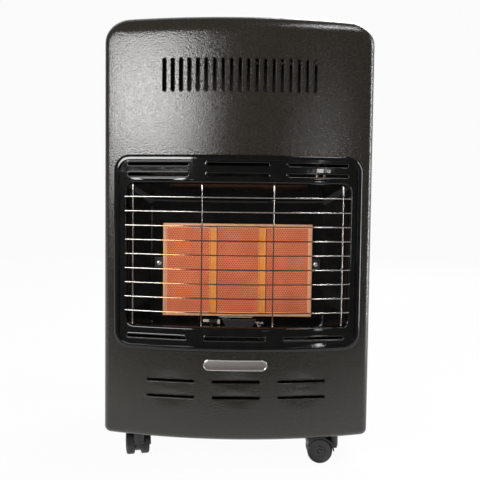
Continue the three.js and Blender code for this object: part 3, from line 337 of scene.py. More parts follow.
class Pressing:
    """Sheet laid out flat as (x, depth, z) in millimetres, then pressed into the bow."""

    def __init__(self):
        self.points, self.faces = [], []

    def ring(self, outline, depth):
        depths = depth if isinstance(depth, list) else [depth] * len(outline)
        first = len(self.points)
        self.points += [(x, d, z) for (x, z), d in zip(outline, depths)]
        return list(range(first, len(self.points)))

    def band(self, front, back, keep=lambda x, z: True):
        """Faces from one ring to the next one out, or down into a hole."""
        for (a, b), (c, d) in zip(pairs(front), pairs(back)):
            x, _, z = self.points[a]
            if keep(x, z):
                self.faces.append((a, c, d, b))

    def rings(self, outlines):
        """A run of rings joined by bands, from (outline, depth) pairs. Returns the rings."""
        made = [self.ring(outline, depth) for outline, depth in outlines]
        for a, b in zip(made, made[1:]):
            self.band(a, b)
        return made

    def punched(self, outlines):
        """Edge of an opening, rolled from the face down into it. Returns its top ring."""
        made = [self.ring(outline, depth) for outline, depth in outlines]
        for a, b in zip(made, made[1:]):
            self.band(b[::-1], a[::-1])
        return made[0]

    def fill(self, outer, holes, depth, pitch, margin=1.2):
        """Flat web between an outer ring and holes, with enough points to take the bow."""
        loops = [[(self.points[i][0], self.points[i][2]) for i in ring] for ring in [outer] + holes]
        names = [i for ring in [outer] + holes for i in ring]
        flat = [point for loop in loops for point in loop]
        edges, start = [], 0
        for loop in loops:
            edges += [(start + k, start + (k + 1) % len(loop)) for k in range(len(loop))]
            start += len(loop)
        boxes = [(*extent(loop), loop) for loop in loops[1:]]

        def open_at(x, z, near=0.0):
            return any(x0 - near < x < x1 + near and z0 - near < z < z1 + near
                       and (near or inside((x, z), loop)) for x0, x1, z0, z1, loop in boxes)

        low_x, high_x, low_z, high_z = extent(flat)
        across, up = round((high_x - low_x) / pitch[0]), round((high_z - low_z) / pitch[1])
        for i in range(1, across):
            for k in range(1, up):
                x, z = low_x + (high_x - low_x) * i / across, low_z + (high_z - low_z) * k / up
                if inside((x, z), loops[0]) and not open_at(x, z, margin):
                    flat.append((x, z))
                    names.append(len(self.points))
                    self.points.append((x, depth, z))
        out, _, faces, origin, _, _ = delaunay_2d_cdt([Vector(p) for p in flat], edges, [], 0, 1e-5)
        for face in faces:
            cx, cz = sum(out[v].x for v in face) / 3, sum(out[v].y for v in face) / 3
            if inside((cx, cz), loops[0]) and not open_at(cx, cz):
                corners = [names[origin[v][0]] for v in face]
                a, b, c = (out[v] for v in face)
                if (b - a).cross(c - a) < 0:
                    corners.reverse()
                self.faces.append(tuple(corners))

    def mesh(self, name):
        mesh = bpy.data.meshes.new(name)
        mesh.from_pydata([on_bow(x, d, z) for x, d, z in self.points], [], self.faces)
        return smoothed(mesh)


def on_bow(x, depth, z):
    """Place in metres of a point at a depth behind the bowed face."""
    return (x * MM, (PANEL_FACE + bow(x) + depth) * MM, z * MM)


def plain_mesh(piece, angle=40):
    """Turns what the modifiers make into the piece's own mesh."""
    seen_now = piece.evaluated_get(bpy.context.evaluated_depsgraph_get())
    made = bpy.data.meshes.new_from_object(seen_now)
    made.name = piece.name
    piece.modifiers.clear()
    piece.data = made
    if angle:
        made.set_sharp_from_angle(angle=math.radians(angle))


def walled(piece, thickness, angle=40):
    """Gives a skin its sheet thickness, with sharp corners kept crisp."""
    wall = piece.modifiers.new("wall", "SOLIDIFY")
    wall.thickness = thickness * MM
    wall.offset = -1
    plain_mesh(piece, angle)
    return piece


def fitted(piece, body, node):
    """Puts a piece in place of a CAD node, on the body that carries it."""
    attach(piece, body)
    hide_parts(node)


panel = Pressing()
edge = rounded(-PANEL_HALF, PANEL_HALF, PANEL_FOOT, PANEL_TOP, FOOT_CORNER, TOP_CORNER, 10, 8)
turns = [(nx, nz, ROLL_SIDE + ((ROLL_TOP if nz > 0 else ROLL_FOOT) - ROLL_SIDE) * nz * nz)
         for nx, nz in outward(edge)]
rolls = []
for step in range(ROLL_STEPS + 1):
    lean = math.radians(90 * step / ROLL_STEPS)
    rolls.append(([(x - nx * r * (1 - math.sin(lean)), z - nz * r * (1 - math.sin(lean)))
                   for (x, z), (nx, nz, r) in zip(edge, turns)],
                  [r * (1 - math.cos(lean)) for _, _, r in turns]))
rings = panel.rings(rolls)
notch = panel.ring(edge, [max(NOTCH_Y - PANEL_FACE - bow(x), turn[2] + 1)
                          for (x, _), turn in zip(edge, turns)])
seam = panel.ring(edge, [PANEL_SEAM - PANEL_FACE - bow(x) for x, _ in edge])
panel.band(rings[-1], notch)
panel.band(notch, seam, lambda x, z: z > NOTCH_TOP
           or min(abs(x - middle) for middle in NOTCH_MIDDLES) > NOTCH_HALF)

vent_pitch = (VENT_RIGHT - VENT_LEFT) / (VENT_COUNT - 1)
vents = [(VENT_LEFT + k * vent_pitch, VENT_Z, VENT_WIDE, VENT_TALL) for k in range(VENT_COUNT)]
holes = [panel.punched([(pill(*slot, grow), depth) for grow, depth in PUNCHED_EDGE])
         for slot in vents + LOW_SLOTS]
holes.append(panel.ring(rounded(*WINDOW, 6, 9), 0))
panel.fill(rings[0], holes, 0, (10, 13))


def powder_coat(shade, tone_and_shade_fade, second_tone_and_shade, grain, gloss, fleck_and_glint=None):
    """Dark powder coat: rounded pebbles with hollows painted darker as shade, light flecks that are partly
    painted glints, in a tone that fades between two; on the front that fade is a painted shade, darker towards
    the bottom.
    """
    cells = shade.node(
        "TexVoronoi", {"feature": "SMOOTH_F1"}, Scale=500.0, Smoothness=0.35, Vector=shade.place())
    pebble = Value(shade, cells.outputs["Distance"])
    tone = shade.mix(tone_and_shade_fade, second_tone_and_shade, (0.031, 0.0262, 0.0195))
    # Painted shade: the hollows between the pebbles are painted darker, as they would lie in shade.
    tone = shade.mix(pebble.ramp(0.1, 0.75) * 0.55, tone, (0.009, 0.008, 0.006))
    # Light flecks: partly the coat's grain and partly painted glints of its sparkle.
    if fleck_and_glint:
        tone = shade.mix(fleck_and_glint * 0.35, tone, (0.10, 0.085, 0.07))
    return shade.surface(
        Base_Color=tone, Roughness=grain.spread(gloss, 0.27), Specular_IOR_Level=0.6,
        Normal=shade.bump(grain * 0.6 - pebble, 0.36, 0.0006))


shade = Shade("grained_powder_coat")
# Painted shade: the front's tone runs darker and greener towards the bottom, where less light falls, mixed
# with large random patches of tone.
tone_and_shade_fade = shade.axes()[2].ramp(0.1, 0.6) * 0.7 + shade.noise(7, 3, 0.55).ramp(0.35, 0.65) * 0.3
paint = powder_coat(
    shade, tone_and_shade_fade, (0.018, 0.0172, 0.0118), shade.noise(700, 2, 0.6), 0.12,
    shade.noise(1400, 1, 0.5).ramp(0.62, 0.78))
front_panel = walled(put("front_panel_sheet", panel.mesh("front_panel_sheet"), paint), PANEL_SHEET)
fitted(front_panel, "cabinet", "front_panel")

# ------------------------
# Firing frame: a pressed steel surround with a proud rolled bead, drawn-up rims
# round its nine slots and a lip turned back into the window, all in thick glossy
# black vitreous enamel. It is clipped over the window of the panel.
FRAME_OUT = (-193.5, 193.5, 186, 488, 25)
FRAME_IN = (-173.5, 173.5, 223, 446, 12)
FRAME_SLOTS = ([(x, z, 95, 5.4) for x in (-123.2, -0.8, 122.2) for z in (473.8, 457.8)]
               + [(x, 207, 93.5, 5) for x in (-124.5, -3, 119.5)])
FRAME_FACE, FRAME_SHEET = -1.5, 0.8
# Sections as (distance in from the edge or out from the slot, depth).
BEAD = [(8.4, FRAME_FACE), (8.38, -2.3), (8.3, -3.2), (8.1, -3.8), (7.8, -3.98), (7.4, -4.0), (6.4, -3.96),
        (5.2, -3.86), (4.0, -3.72), (3.0, -3.54), (2.1, -3.2), (1.3, -2.7), (0.7, -2.0), (0.25, -1.3),
        (0.05, -0.7), (0, -0.3)]
LIP = [(-3.5, FRAME_FACE), (-3, FRAME_FACE), (-2.3, -1.45), (-1.5, -1.25), (-0.8, -0.8), (-0.3, -0.2),
       (-0.05, 0.6), (0, 1.6), (0, 5), (0, 9)]
RIM = [(2.6, FRAME_FACE), (2.2, FRAME_FACE), (1.9, -1.54), (1.5, -1.72), (1.15, -1.85), (0.8, -1.82),
       (0.45, -1.6), (0.18, -1.2), (0.04, -0.7), (0, -0.1), (0, 1.2)]


def frame_ring(rect, inset, steps, gap):
    x0, x1, z0, z1, corner = rect
    base = rounded(x0, x1, z0, z1, corner, corner, steps, gap)
    return [(x - nx * inset, z - nz * inset) for (x, z), (nx, nz) in zip(base, outward(base))]


surround = Pressing()
bead_rings = surround.rings([(frame_ring(FRAME_OUT, inset, 10, 8), depth) for inset, depth in BEAD])
openings = [surround.punched([(frame_ring(FRAME_IN, inset, 7, 8), depth) for inset, depth in LIP])]
for slot in FRAME_SLOTS:
    openings.append(surround.punched([(pill(*slot, grow), depth) for grow, depth in RIM]))
surround.fill(bead_rings[0], openings, FRAME_FACE, (10, 12))


def glossy_black(name):
    """Fired enamel: mirror gloss over a faintly wavy coat, with specks of grit."""
    shade = Shade(name)
    wave = shade.noise(70, 3, 0.55)
    peel = shade.noise(420, 2, 0.5)
    grit = shade.noise(900, 1, 0.4).ramp(0.72, 0.8)
    tone = shade.mix(wave.ramp(0.35, 0.7), (0.003, 0.003, 0.003), (0.0055, 0.0052, 0.0046))
    return shade.surface(
        Base_Color=tone, Roughness=peel.ramp(0.2, 0.8, 0.045, 0.1) + grit * 0.1,
        Specular_IOR_Level=0.45, Normal=shade.bump(wave + peel * 0.12, 0.3, 0.0006))


enamelled = put("firing_frame_enamel", surround.mesh("firing_frame_enamel"), glossy_black("black_enamel"))
fitted(walled(enamelled, FRAME_SHEET, 50), "cabinet", "firing_frame")

# ------------------------
# Wire guard: nine level wires of bright plated steel, bent to the bow and spot
# welded to four uprights whose ends are turned in behind the frame's lip.
WIRE = 1.15
GUARD_GAP, GUARD_HALF, GUARD_TOP = 0.3, 174.8, 423.5
GUARD_STEPS, UPRIGHT_STEPS = 48, 20
UPRIGHTS = (-162.5, -54.7, 54.7, 162.5)
HOOK_RADIUS, HOOK_END = 3.5, 8
GUARD = {"Rows": 9, "Row Pitch": 0.0221, "Wire Radius": 0.001}


class Maker(Tree):
    """Geometry nodes with a Geometry input, one for each named value, and a Material."""
    family = "GeometryNode"

    def __init__(self, name, inputs):
        self.tree = bpy.data.node_groups.new(name, "GeometryNodeTree")
        for way in ("INPUT", "OUTPUT"):
            self.tree.interface.new_socket("Geometry", in_out=way, socket_type="NodeSocketGeometry")
        for label, value in {**inputs, "Material": None}.items():
            kind = "Material" if value is None else "Int" if isinstance(value, int) else "Float"
            made = self.tree.interface.new_socket(label, in_out="INPUT", socket_type="NodeSocket" + kind)
            if value is not None:
                made.default_value = value
        self.given = self.node("NodeGroupInput").outputs
        self.out = self.node("NodeGroupOutput")

    def maths(self, operation, a, b):
        return self.node("ShaderNodeMath", {"operation": operation}, _0=a, _1=b)

    def vector(self, **parts):
        return self.node("ShaderNodeCombineXYZ", **parts)

    def finish(self, geometry):
        """Gives what is made its material and hands it out."""
        painted = self.node("SetMaterial", Geometry=geometry, Material=self.given["Material"])
        self.feed(self.out.inputs[0], painted)
        return self.tree


def grown(name, mesh, tree, material, values):
    """Runs a geometry tree on a mesh and keeps the result as a plain mesh."""
    piece = put(name, mesh)
    maker = piece.modifiers.new("maker", "NODES")
    maker.node_group = tree
    chosen = {**values, "Material": material}
    for item in tree.interface.items_tree:
        if item.in_out == "INPUT" and item.name in chosen:
            maker[item.identifier] = chosen[item.name]
    piece.update_tag()
    bpy.context.view_layer.update()
    plain_mesh(piece)
    return piece


def wire_tree():
    """Copies of the level wire, one below another, joined to the uprights and made round."""
    wires = Maker("wire_guard", GUARD)
    node, given = wires.node, wires.given
    level = node("InputNamedAttribute", {"data_type": "BOOLEAN"}, Name="level_wire")
    parts = node("SeparateGeometry", {"domain": "POINT"}, Geometry=given["Geometry"],
                 Selection=level.outputs["Attribute"])
    drop = wires.vector(Z=wires.maths("MULTIPLY", given["Row Pitch"], -1.0))
    copies = node("MeshLine", Count=given["Rows"], Offset=drop)
    rows = node("InstanceOnPoints", Points=copies, Instance=parts.outputs["Selection"])
    joined = node("JoinGeometry", Geometry=[rows, parts.outputs["Inverted"]])
    curve = node("MeshToCurve", Mesh=node("RealizeInstances", Geometry=joined))
    section = node("CurvePrimitiveCircle", Resolution=12, Radius=given["Wire Radius"])
    return wires.finish(node("CurveToMesh", Curve=curve, Profile_Curve=section, Fill_Caps=True))


def wire_lines():
    """Centre lines: the top level wire, then the four hooked uprights."""
    points, edges, level = [], [], []
    cross = FRAME_FACE - GUARD_GAP - WIRE
    upright = cross + 2 * WIRE - 0.5

    def run(line, flag):
        first = len(points)
        points.extend(on_bow(x, d, z) for x, d, z in line)
        level.extend([flag] * len(line))
        edges.extend((first + k, first + k + 1) for k in range(len(line) - 1))

    run([(-GUARD_HALF + 2 * GUARD_HALF * k / GUARD_STEPS, cross, GUARD_TOP)
         for k in range(GUARD_STEPS + 1)], True)
    foot, top = FRAME_IN[2] + WIRE + GUARD_GAP, FRAME_IN[3] - WIRE - GUARD_GAP
    straight = top - HOOK_RADIUS, top - foot - 2 * HOOK_RADIUS
    bend = [(upright + HOOK_RADIUS * (1 - math.cos(a)), HOOK_RADIUS * math.sin(a) - HOOK_RADIUS)
            for a in (math.radians(15 * k) for k in range(7))]
    for x in UPRIGHTS:
        line = [(x, upright + HOOK_END, top)] + [(x, d, top + dz) for d, dz in bend[::-1]]
        line += [(x, upright, straight[0] - straight[1] * k / UPRIGHT_STEPS) for k in range(1, UPRIGHT_STEPS)]
        line += [(x, d, foot - dz) for d, dz in bend] + [(x, upright + HOOK_END, foot)]
        run(line, False)
    mesh = bpy.data.meshes.new("wire_lines")
    mesh.from_pydata(points, edges, [])
    flags = mesh.attributes.new("level_wire", "BOOLEAN", "POINT")
    flags.data.foreach_set("value", level)
    return mesh


# Painted reflections on the plating: orange over the left ends of the tiles, for the tiles mirrored in the
# wires, and dark brown further right in front of them, for the tiles and the dark front mirrored there.
shade = Shade("bright_plated_wire")
x_at, _, z_at = shade.axes()
handling = shade.noise(160, 3, 0.6)
in_front = z_at.within(0.226, 0.236, 0.378, 0.386) * x_at.ramp(0.112, 0.121, 1.0, 0.0)
painted_tile_reflection = in_front * x_at.ramp(-0.121, -0.116)
painted_dark_reflection = in_front * x_at.ramp(-0.092, -0.07)
tone = shade.mix(handling.ramp(0.4, 0.75), (0.62, 0.59, 0.57), (0.46, 0.42, 0.38))
tone = shade.mix(painted_tile_reflection, tone, (0.66, 0.36, 0.17))
tone = shade.mix(painted_dark_reflection * 0.93, tone, (0.050, 0.016, 0.012))
plated = shade.surface(
    Base_Color=tone, Metallic=1.0 - painted_dark_reflection * 0.5, Roughness=handling.spread(0.1, 0.2) + painted_dark_reflection * 0.2,
    Normal=shade.bump(shade.noise(900, 2, 0.5), 0.15, 0.0001))
guard = grown("wire_guard_welded", wire_lines(), wire_tree(), plated, GUARD)
fitted(guard, "cabinet", "wire_guard")

# ------------------------
# Burner chamber: a drawn steel hopper from the frame's lip back to the plate
# round the burner, dipped in the same black enamel as the frame.
PLATE_Y, CHAMBER_SHEET = -148.5, 0.8


def corner_ring(half, low, high, corner, depth=None):
    """Rounded rectangle of the hopper, following the bow at a depth or flat on its plate."""
    outline = []
    for k, (a, b) in enumerate(pairs(rounded(-half, half, low, high, corner, corner, 9))):
        parts = 1 if (k + 1) % 10 else 24 if (k // 10) % 2 == 0 else 12
        outline += [(a[0] + (b[0] - a[0]) * i / parts, a[1] + (b[1] - a[1]) * i / parts) for i in range(parts)]
    if depth is None:
        return [(x * MM, PLATE_Y * MM, z * MM) for x, z in outline]
    return [on_bow(x, depth, z) for x, z in outline]


def between(a, b, share):
    return [tuple(p + (q - p) * share for p, q in zip(u, v)) for u, v in zip(a, b)]


mouth, mouth_end = (corner_ring(172.2, 224.3, 444.7, 10.7, depth) for depth in (4, 9.5))
plate = corner_ring(138, 212, 418, 14)
burner_hole = corner_ring(121, 231.3, 383.1, 2)
hopper = [burner_hole] + [between(burner_hole, plate, share) for share in (0.5, 0.86)]
hopper += [between(plate, mouth_end, share) for share in (0.03, 0.1, 0.3, 0.55, 0.8, 0.95)]
hopper += [mouth_end, mouth]


def pale_band(shade):
    """Pale band under the middle tile, wide above and narrow below, painted paler than its own tone to make up
    for the shadow it lies in.
    """
    x, y, z = shade.axes()
    drop = z.ramp(0.2282, 0.2354, 0.0, 1.0)
    left = (x + 0.0237 + drop * 0.0208).ramp(0.0, 0.002)
    right = (0.0228 + drop * 0.0129 - x).ramp(0.0, 0.002)
    return left * right * z.within(0.2279, 0.2285, 0.2325, 0.2331) * y.ramp(-0.1535, -0.153)


PALE_BAND_TONE = (0.56, 0.45, 0.30)
shade = Shade("chamber_enamel")
wave = shade.noise(45, 2, 0.5)
pale = pale_band(shade)
fired = shade.mix(wave.ramp(0.35, 0.7), (0.003, 0.003, 0.003), (0.0055, 0.005, 0.0042))
fired = shade.surface(
    Base_Color=shade.mix(pale, fired, PALE_BAND_TONE), Specular_IOR_Level=0.22,
    Roughness=wave.ramp(0.2, 0.8, 0.08, 0.16) + pale * 0.4, Normal=shade.bump(wave, 0.35, 0.0006))
chamber = put("burner_chamber_drawn", grid_mesh("burner_chamber_drawn", hopper, closed=True), fired)
chamber.data.flip_normals()
fitted(walled(chamber, CHAMBER_SHEET, 50), "cabinet", "burner_chamber")


# ------------------------
# Burner housing: an aluminised steel box, heat tinted, whose turned lip holds
# three perforated ceramic tiles; a screw through each ear fixes it to the plate.
def dressed(node, material, width, segments=2, angle=30, body="cabinet"):
    """A CAD piece as one clean mesh, its edges broken by a small radius, in place of its node."""
    mesh = bpy.data.meshes.new(node + "_made")
    work = bmesh.new()
    work.from_mesh(bpy.data.objects[node].data)
    bmesh.ops.remove_doubles(work, verts=work.verts, dist=0.00002)
    bmesh.ops.dissolve_limit(work, angle_limit=math.radians(1.0), verts=work.verts, edges=work.edges)
    work.to_mesh(mesh)
    work.free()
    piece = put(mesh.name, smoothed(mesh), material)
    if width:
        breaker = piece.modifiers.new("edges", "BEVEL")
        breaker.width = width * MM
        breaker.segments = segments
        breaker.limit_method = "ANGLE"
        breaker.angle_limit = math.radians(angle)
        mesh.set_sharp_from_angle(angle=math.radians(angle))
        even = piece.modifiers.new("even", "WEIGHTED_NORMAL")
        even.keep_sharp = True
        even.weight = 60
    plain_mesh(piece, None if width else angle)
    fitted(piece, body, node)


shade = Shade("heat_tinted_steel")
x_at, y_at, z_at = shade.axes()
stain = shade.noise(60, 4, 0.6)
tint = shade.mix(stain.ramp(0.3, 0.7), (0.74, 0.36, 0.19), (0.84, 0.46, 0.27))
tint = shade.mix(stain.ramp(0.55, 0.8) * 0.6, tint, (0.50, 0.24, 0.13))
tint = shade.mix(z_at.ramp(0.2328, 0.2334, 1.0, 0.0), tint, (0.05, 0.026, 0.016))
# The pale band, painted paler to make up for its shadow, runs on over the housing.
tint = shade.mix(pale_band(shade), tint, PALE_BAND_TONE)
tint = shade.mix(y_at.ramp(-0.1512, -0.1495), tint, (0.30, 0.27, 0.24))
ear = x_at.math("ABSOLUTE").ramp(0.1194, 0.1197)
tinted = shade.surface(
    Base_Color=shade.mix(ear, tint, (0.006, 0.006, 0.006)), Metallic=(1.0 - ear) * 0.35,
    Roughness=stain.spread(0.38, 0.55), Normal=shade.bump(shade.noise(700, 2, 0.6), 0.2, 0.0002))
dressed("burner_housing", tinted, 0.25)


def mottled(name, tones, patches, blend, rough, fine=None, bump=None, **more):
    """Two tones of one stuff in soft patches, and a roughness that varies with them or finer."""
    shade = Shade(name)
    patch = shade.noise(*patches)
    grain = shade.noise(*fine) if fine else patch
    if bump:
        more["Normal"] = shade.bump(grain, *bump)
    return shade.surface(
        Base_Color=shade.mix(patch.ramp(*blend), *tones), Roughness=grain.spread(*rough), **more)


SCREW_X, SCREW_Y, SCREW_Z = 126, -150.05, 317.7
SCREW = {"Head Radius": 4.2 * MM, "Head Height": 2.2 * MM, "Recess": 2.2 * 1.1 * MM, "Turn": 0.4}


def screw_tree():
    """Cross-recess pan heads: one on each point, sized and turned by the inputs."""
    screws = Maker("pan_head_screws", SCREW)
    node, given, maths, vector = screws.node, screws.given, screws.maths, screws.vector
    ball = node("MeshUVSphere", Segments=32, Rings=16, Radius=given["Head Radius"])
    squash = vector(X=1.0, Y=1.0, Z=maths("DIVIDE", given["Head Height"], given["Head Radius"]))
    dome = node("Transform", Geometry=ball, Scale=squash)
    long, narrow = (maths("MULTIPLY", given["Head Radius"], share) for share in (1.3, 0.26))
    blades = []
    for first, second in ((long, narrow), (narrow, long)):
        blade = node("MeshCube", Size=vector(X=first, Y=second, Z=given["Recess"]))
        blades.append(node("Transform", Geometry=blade, Translation=vector(Z=given["Head Height"])))
    cross = node("MeshBoolean", {"operation": "UNION"}, Mesh_2=node("JoinGeometry", Geometry=blades))
    cut = node("MeshBoolean", {"operation": "DIFFERENCE"}, Mesh_1=dome, Mesh_2=cross)
    turned = node("Transform", Geometry=cut, Rotation=vector(Z=given["Turn"]))
    facing = node("InputNamedAttribute", {"data_type": "FLOAT_VECTOR"}, Name="facing")
    aim = node("FunctionNodeAlignRotationToVector", {"axis": "Z"}, Vector=facing.outputs["Attribute"])
    heads = node("InstanceOnPoints", Points=given["Geometry"], Instance=turned, Rotation=aim)
    return screws.finish(node("RealizeInstances", Geometry=heads))


screw_heads = screw_tree()
zinc_screw = mottled(
    "zinc_screw", ((0.72, 0.71, 0.68), (0.50, 0.48, 0.45)), (900, 2, 0.5), (0.4, 0.7), (0.2, 0.34),
    Metallic=1.0)
for side, x, turn in (("left", -SCREW_X, 0.35), ("right", SCREW_X, 1.1)):
    mesh = bpy.data.meshes.new("burner_screw_head_" + side)
    mesh.from_pydata([(x * MM, SCREW_Y * MM, SCREW_Z * MM)], [], [])
    ways = mesh.attributes.new("facing", "FLOAT_VECTOR", "POINT")
    ways.data.foreach_set("vector", (0, -1, 0))
    head = grown("burner_screw_head_" + side, mesh, screw_heads, zinc_screw, {**SCREW, "Turn": turn})
    fitted(head, "cabinet", "burner_screw_" + side)

# ------------------------
# Burner plaques: three cast cordierite tiles, 12 mm thick, with staggered rows of
# fine flame ports stopped short of a plain edge, burnt to a dull orange-red.
PORT_PITCH, ROW_PITCH = 3.9, 3.1
TILE_LOW, TILE_HIGH = 234.1, 380.3
TILE_LEFT, TILE_WIDE, TILE_PITCH = -118.2, 78.6, 78.9


def ports(shade, x0, x1, z0, z1):
    """Mask of the ports in staggered rows, and of the field that they fill."""
    x, _, z = shade.axes()
    row = (z * (1000 / ROW_PITCH)).math("FLOOR")
    stagger = row.math("MODULO", 2.0) * 0.5
    u = (x * (1000 / PORT_PITCH) + stagger).math("FRACT") - 0.5
    v = (z * (1000 / ROW_PITCH)).math("FRACT") - 0.5
    away = (u * u * (PORT_PITCH ** 2) + v * v * (ROW_PITCH ** 2)).math("SQRT")
    field = x.within((x0 + 4.6) * MM, (x0 + 5.4) * MM, (x1 - 5.4) * MM, (x1 - 4.6) * MM)
    field = field * z.within((z0 + 4.8) * MM, (z0 + 5.6) * MM, (z1 - 5.6) * MM, (z1 - 4.8) * MM)
    return away.ramp(0.82, 1.2, 1.0, 0.0) * field, field


for index, place in enumerate(("left", "middle", "right")):
    x0 = TILE_LEFT + index * TILE_PITCH
    shade = Shade("plaque_ceramic_" + place)
    hole, field = ports(shade, x0, x0 + TILE_WIDE, TILE_LOW, TILE_HIGH)
    patch = shade.noise(26, 4, 0.6)
    crumb = shade.noise(950, 2, 0.6)
    body = shade.mix(patch.ramp(0.3, 0.72), (0.74, 0.175, 0.066), (0.84, 0.23, 0.095))
    edge_tone = shade.mix(patch.ramp(0.3, 0.7), (0.84, 0.36, 0.19), (0.90, 0.44, 0.25))
    tone = shade.mix(field, edge_tone, body)
    tone = shade.mix(crumb.ramp(0.62, 0.8) * 0.35, tone, (0.78, 0.42, 0.26))
    # Painted shade: the ports are painted dark, as the insides of the holes would be shaded.
    tone = shade.mix(hole * 0.75, tone, (0.16, 0.040, 0.065))
    ceramic = shade.surface(
        Base_Color=tone, Roughness=0.82, Specular_IOR_Level=0.25,
        Normal=shade.bump(crumb * 0.12 - hole, 0.7, 0.0006))
    dressed("plaque_" + place, ceramic, 0.5)

# ------------------------
# Joint strips: heat-coloured steel channels clipped over the two joints between
# the tiles, with a row of nicks along both raised edges.
JOINT_X = 0.03945
NICKS_PER_METRE = 460.0
shade = Shade("gold_joint_strip")
x_at, _, z_at = shade.axes()
burn = shade.noise(38, 4, 0.6)
nick = (z_at * NICKS_PER_METRE).math("FRACT").within(0.30, 0.5, 0.62, 0.86)
rim = (x_at.math("ABSOLUTE") - JOINT_X).math("ABSOLUTE").ramp(0.0036, 0.0048)
gold = shade.mix(burn.ramp(0.3, 0.7), (0.74, 0.235, 0.040), (0.84, 0.30, 0.060))
# Painted shade in the nicks, and a painted highlight on the raised edges between them.
gold = shade.mix(rim * nick, gold, (0.36, 0.10, 0.035))
gold = shade.mix(rim * (1.0 - nick) * 0.6, gold, (0.92, 0.46, 0.14))
strip_gold = shade.surface(
    Base_Color=gold, Specular_IOR_Level=0.3, Roughness=burn.spread(0.4, 0.52),
    Normal=shade.bump(shade.noise(600, 2, 0.5) * 0.4 - rim * nick, 0.5, 0.0005))
for side in ("left", "right"):
    dressed("joint_strip_" + side, strip_gold, 0.2)

# ------------------------
# Badge: a pill-shaped tray of chromed zinc on the panel, following its bow, with
# a bare brushed plate let into it. It carries no lettering.
BADGE_X, BADGE_Z, BADGE_LONG, BADGE_TALL = -1.5, 166, 99, 17.4
BADGE_ARC, BADGE_SIDE = 20, 12


def badge_ring(shrink, depth):
    """Outline of the badge at a depth, its long sides divided to follow the bow."""
    half, radius = BADGE_LONG / 2 - shrink, BADGE_TALL / 2 - shrink
    straight = half - radius
    points = []
    for sign in (1, -1):
        for k in range(BADGE_ARC + 1):
            angle = math.pi * (k / BADGE_ARC - 0.5) + (0 if sign > 0 else math.pi)
            points.append((BADGE_X + sign * straight + radius * math.cos(angle),
                           BADGE_Z + radius * math.sin(angle)))
        for k in range(1, BADGE_SIDE):
            points.append((BADGE_X + sign * straight * (1 - 2 * (k / BADGE_SIDE)), BADGE_Z + sign * radius))
    return [on_bow(x, depth, z) for x, z in points]


def capped(name, section):
    """Closed solid of badge rings with a flat face over the first and the last."""
    rings = [badge_ring(inset, depth) for inset, depth in section]
    mesh = grid_mesh(name, rings, closed=True)
    work = bmesh.new()
    work.from_mesh(mesh)
    work.verts.ensure_lookup_table()
    count = len(rings[0])
    for start in (0, (len(rings) - 1) * count):
        bmesh.ops.contextual_create(work, geom=[work.verts[start + i] for i in range(count)])
    bmesh.ops.triangulate(work, faces=[face for face in work.faces if len(face.verts) > 4])
    bmesh.ops.recalc_face_normals(work, faces=work.faces)
    work.to_mesh(mesh)
    work.free()
    smoothed(mesh).set_sharp_from_angle(angle=math.radians(35))
    return mesh


badge_chrome = mottled(
    "badge_chrome", ((0.86, 0.85, 0.83), (0.74, 0.73, 0.70)), (300, 3, 0.6), (0.4, 0.7), (0.07, 0.16),
    Metallic=1.0)
tray = capped("badge_rim", [
    (0.0, -0.35), (0.0, -1.2), (0.12, -1.7), (0.4, -2.1), (0.8, -2.32), (1.2, -2.38), (1.6, -2.3),
    (1.95, -2.05), (2.15, -1.7), (2.2, -1.25)])
fitted(put("badge_rim", tray, badge_chrome), "cabinet", "badge_plate")

shade = Shade("badge_brushed")
stretched = shade.node("VectorMath", {"operation": "MULTIPLY"}, _0=shade.place(), _1=(120.0, 120.0, 5200.0))
hair = Value(shade, shade.node("TexNoise", Vector=stretched, Scale=1.0, Detail=3.0).outputs[0])
# Painted reflection: the plate runs from dark at its foot to light at its top, as if it mirrored a sky.
silver = shade.mix(shade.axes()[2].ramp(0.1595, 0.1725), (0.24, 0.21, 0.20), (0.50, 0.46, 0.44))
silver = shade.mix(hair.ramp(0.35, 0.7) * 0.3, silver, (0.20, 0.19, 0.18))
badge_brushed = shade.surface(
    Base_Color=silver, Metallic=0.85, Roughness=hair.spread(0.26, 0.4), Normal=shade.bump(hair, 0.12, 0.0001))
inlay = capped("badge_inlay", [(2.45, -1.3), (2.45, -1.62), (2.6, -1.78), (2.9, -1.84), (4.0, -1.86)])
fitted(put("badge_inlay", inlay, badge_brushed), "cabinet", "badge_field")

# ------------------------
# Pilot group on its shelf under the plaques: an enamelled bracket, a small steel
# burner tube, a porcelain spark electrode, a thermocouple and a dark mica board.
dressed("pilot_bracket", glossy_black("bracket_enamel"), 0.2)

shade = Shade("pilot_steel")
x_at, _, z_at = shade.axes()
scale = shade.noise(420, 3, 0.6)
# Painted light: the steel keeps its pale tone only in a few bits and a scribble on the thermocouple, painted
# highlights; the rest is painted near black as shade.
painted_highlight_bits = (x_at.ramp(-0.046, -0.0435, 1.0, 0.0) * z_at.ramp(0.224, 0.2255)
         + x_at.within(-0.032, -0.030, 0.0, 0.01) + x_at.ramp(0.0, 0.01) * scale.ramp(0.5, 0.56))
steel = shade.mix(scale.ramp(0.35, 0.7), (0.80, 0.75, 0.68), (0.55, 0.50, 0.44))
pilot_steel = shade.surface(
    Base_Color=shade.mix(painted_highlight_bits, (0.020, 0.017, 0.015), steel), Metallic=0.3,
    Roughness=scale.spread(0.22, 0.42))
for node in ("pilot_burner", "thermocouple_probe"):
    dressed(node, pilot_steel, 0.15, angle=50)

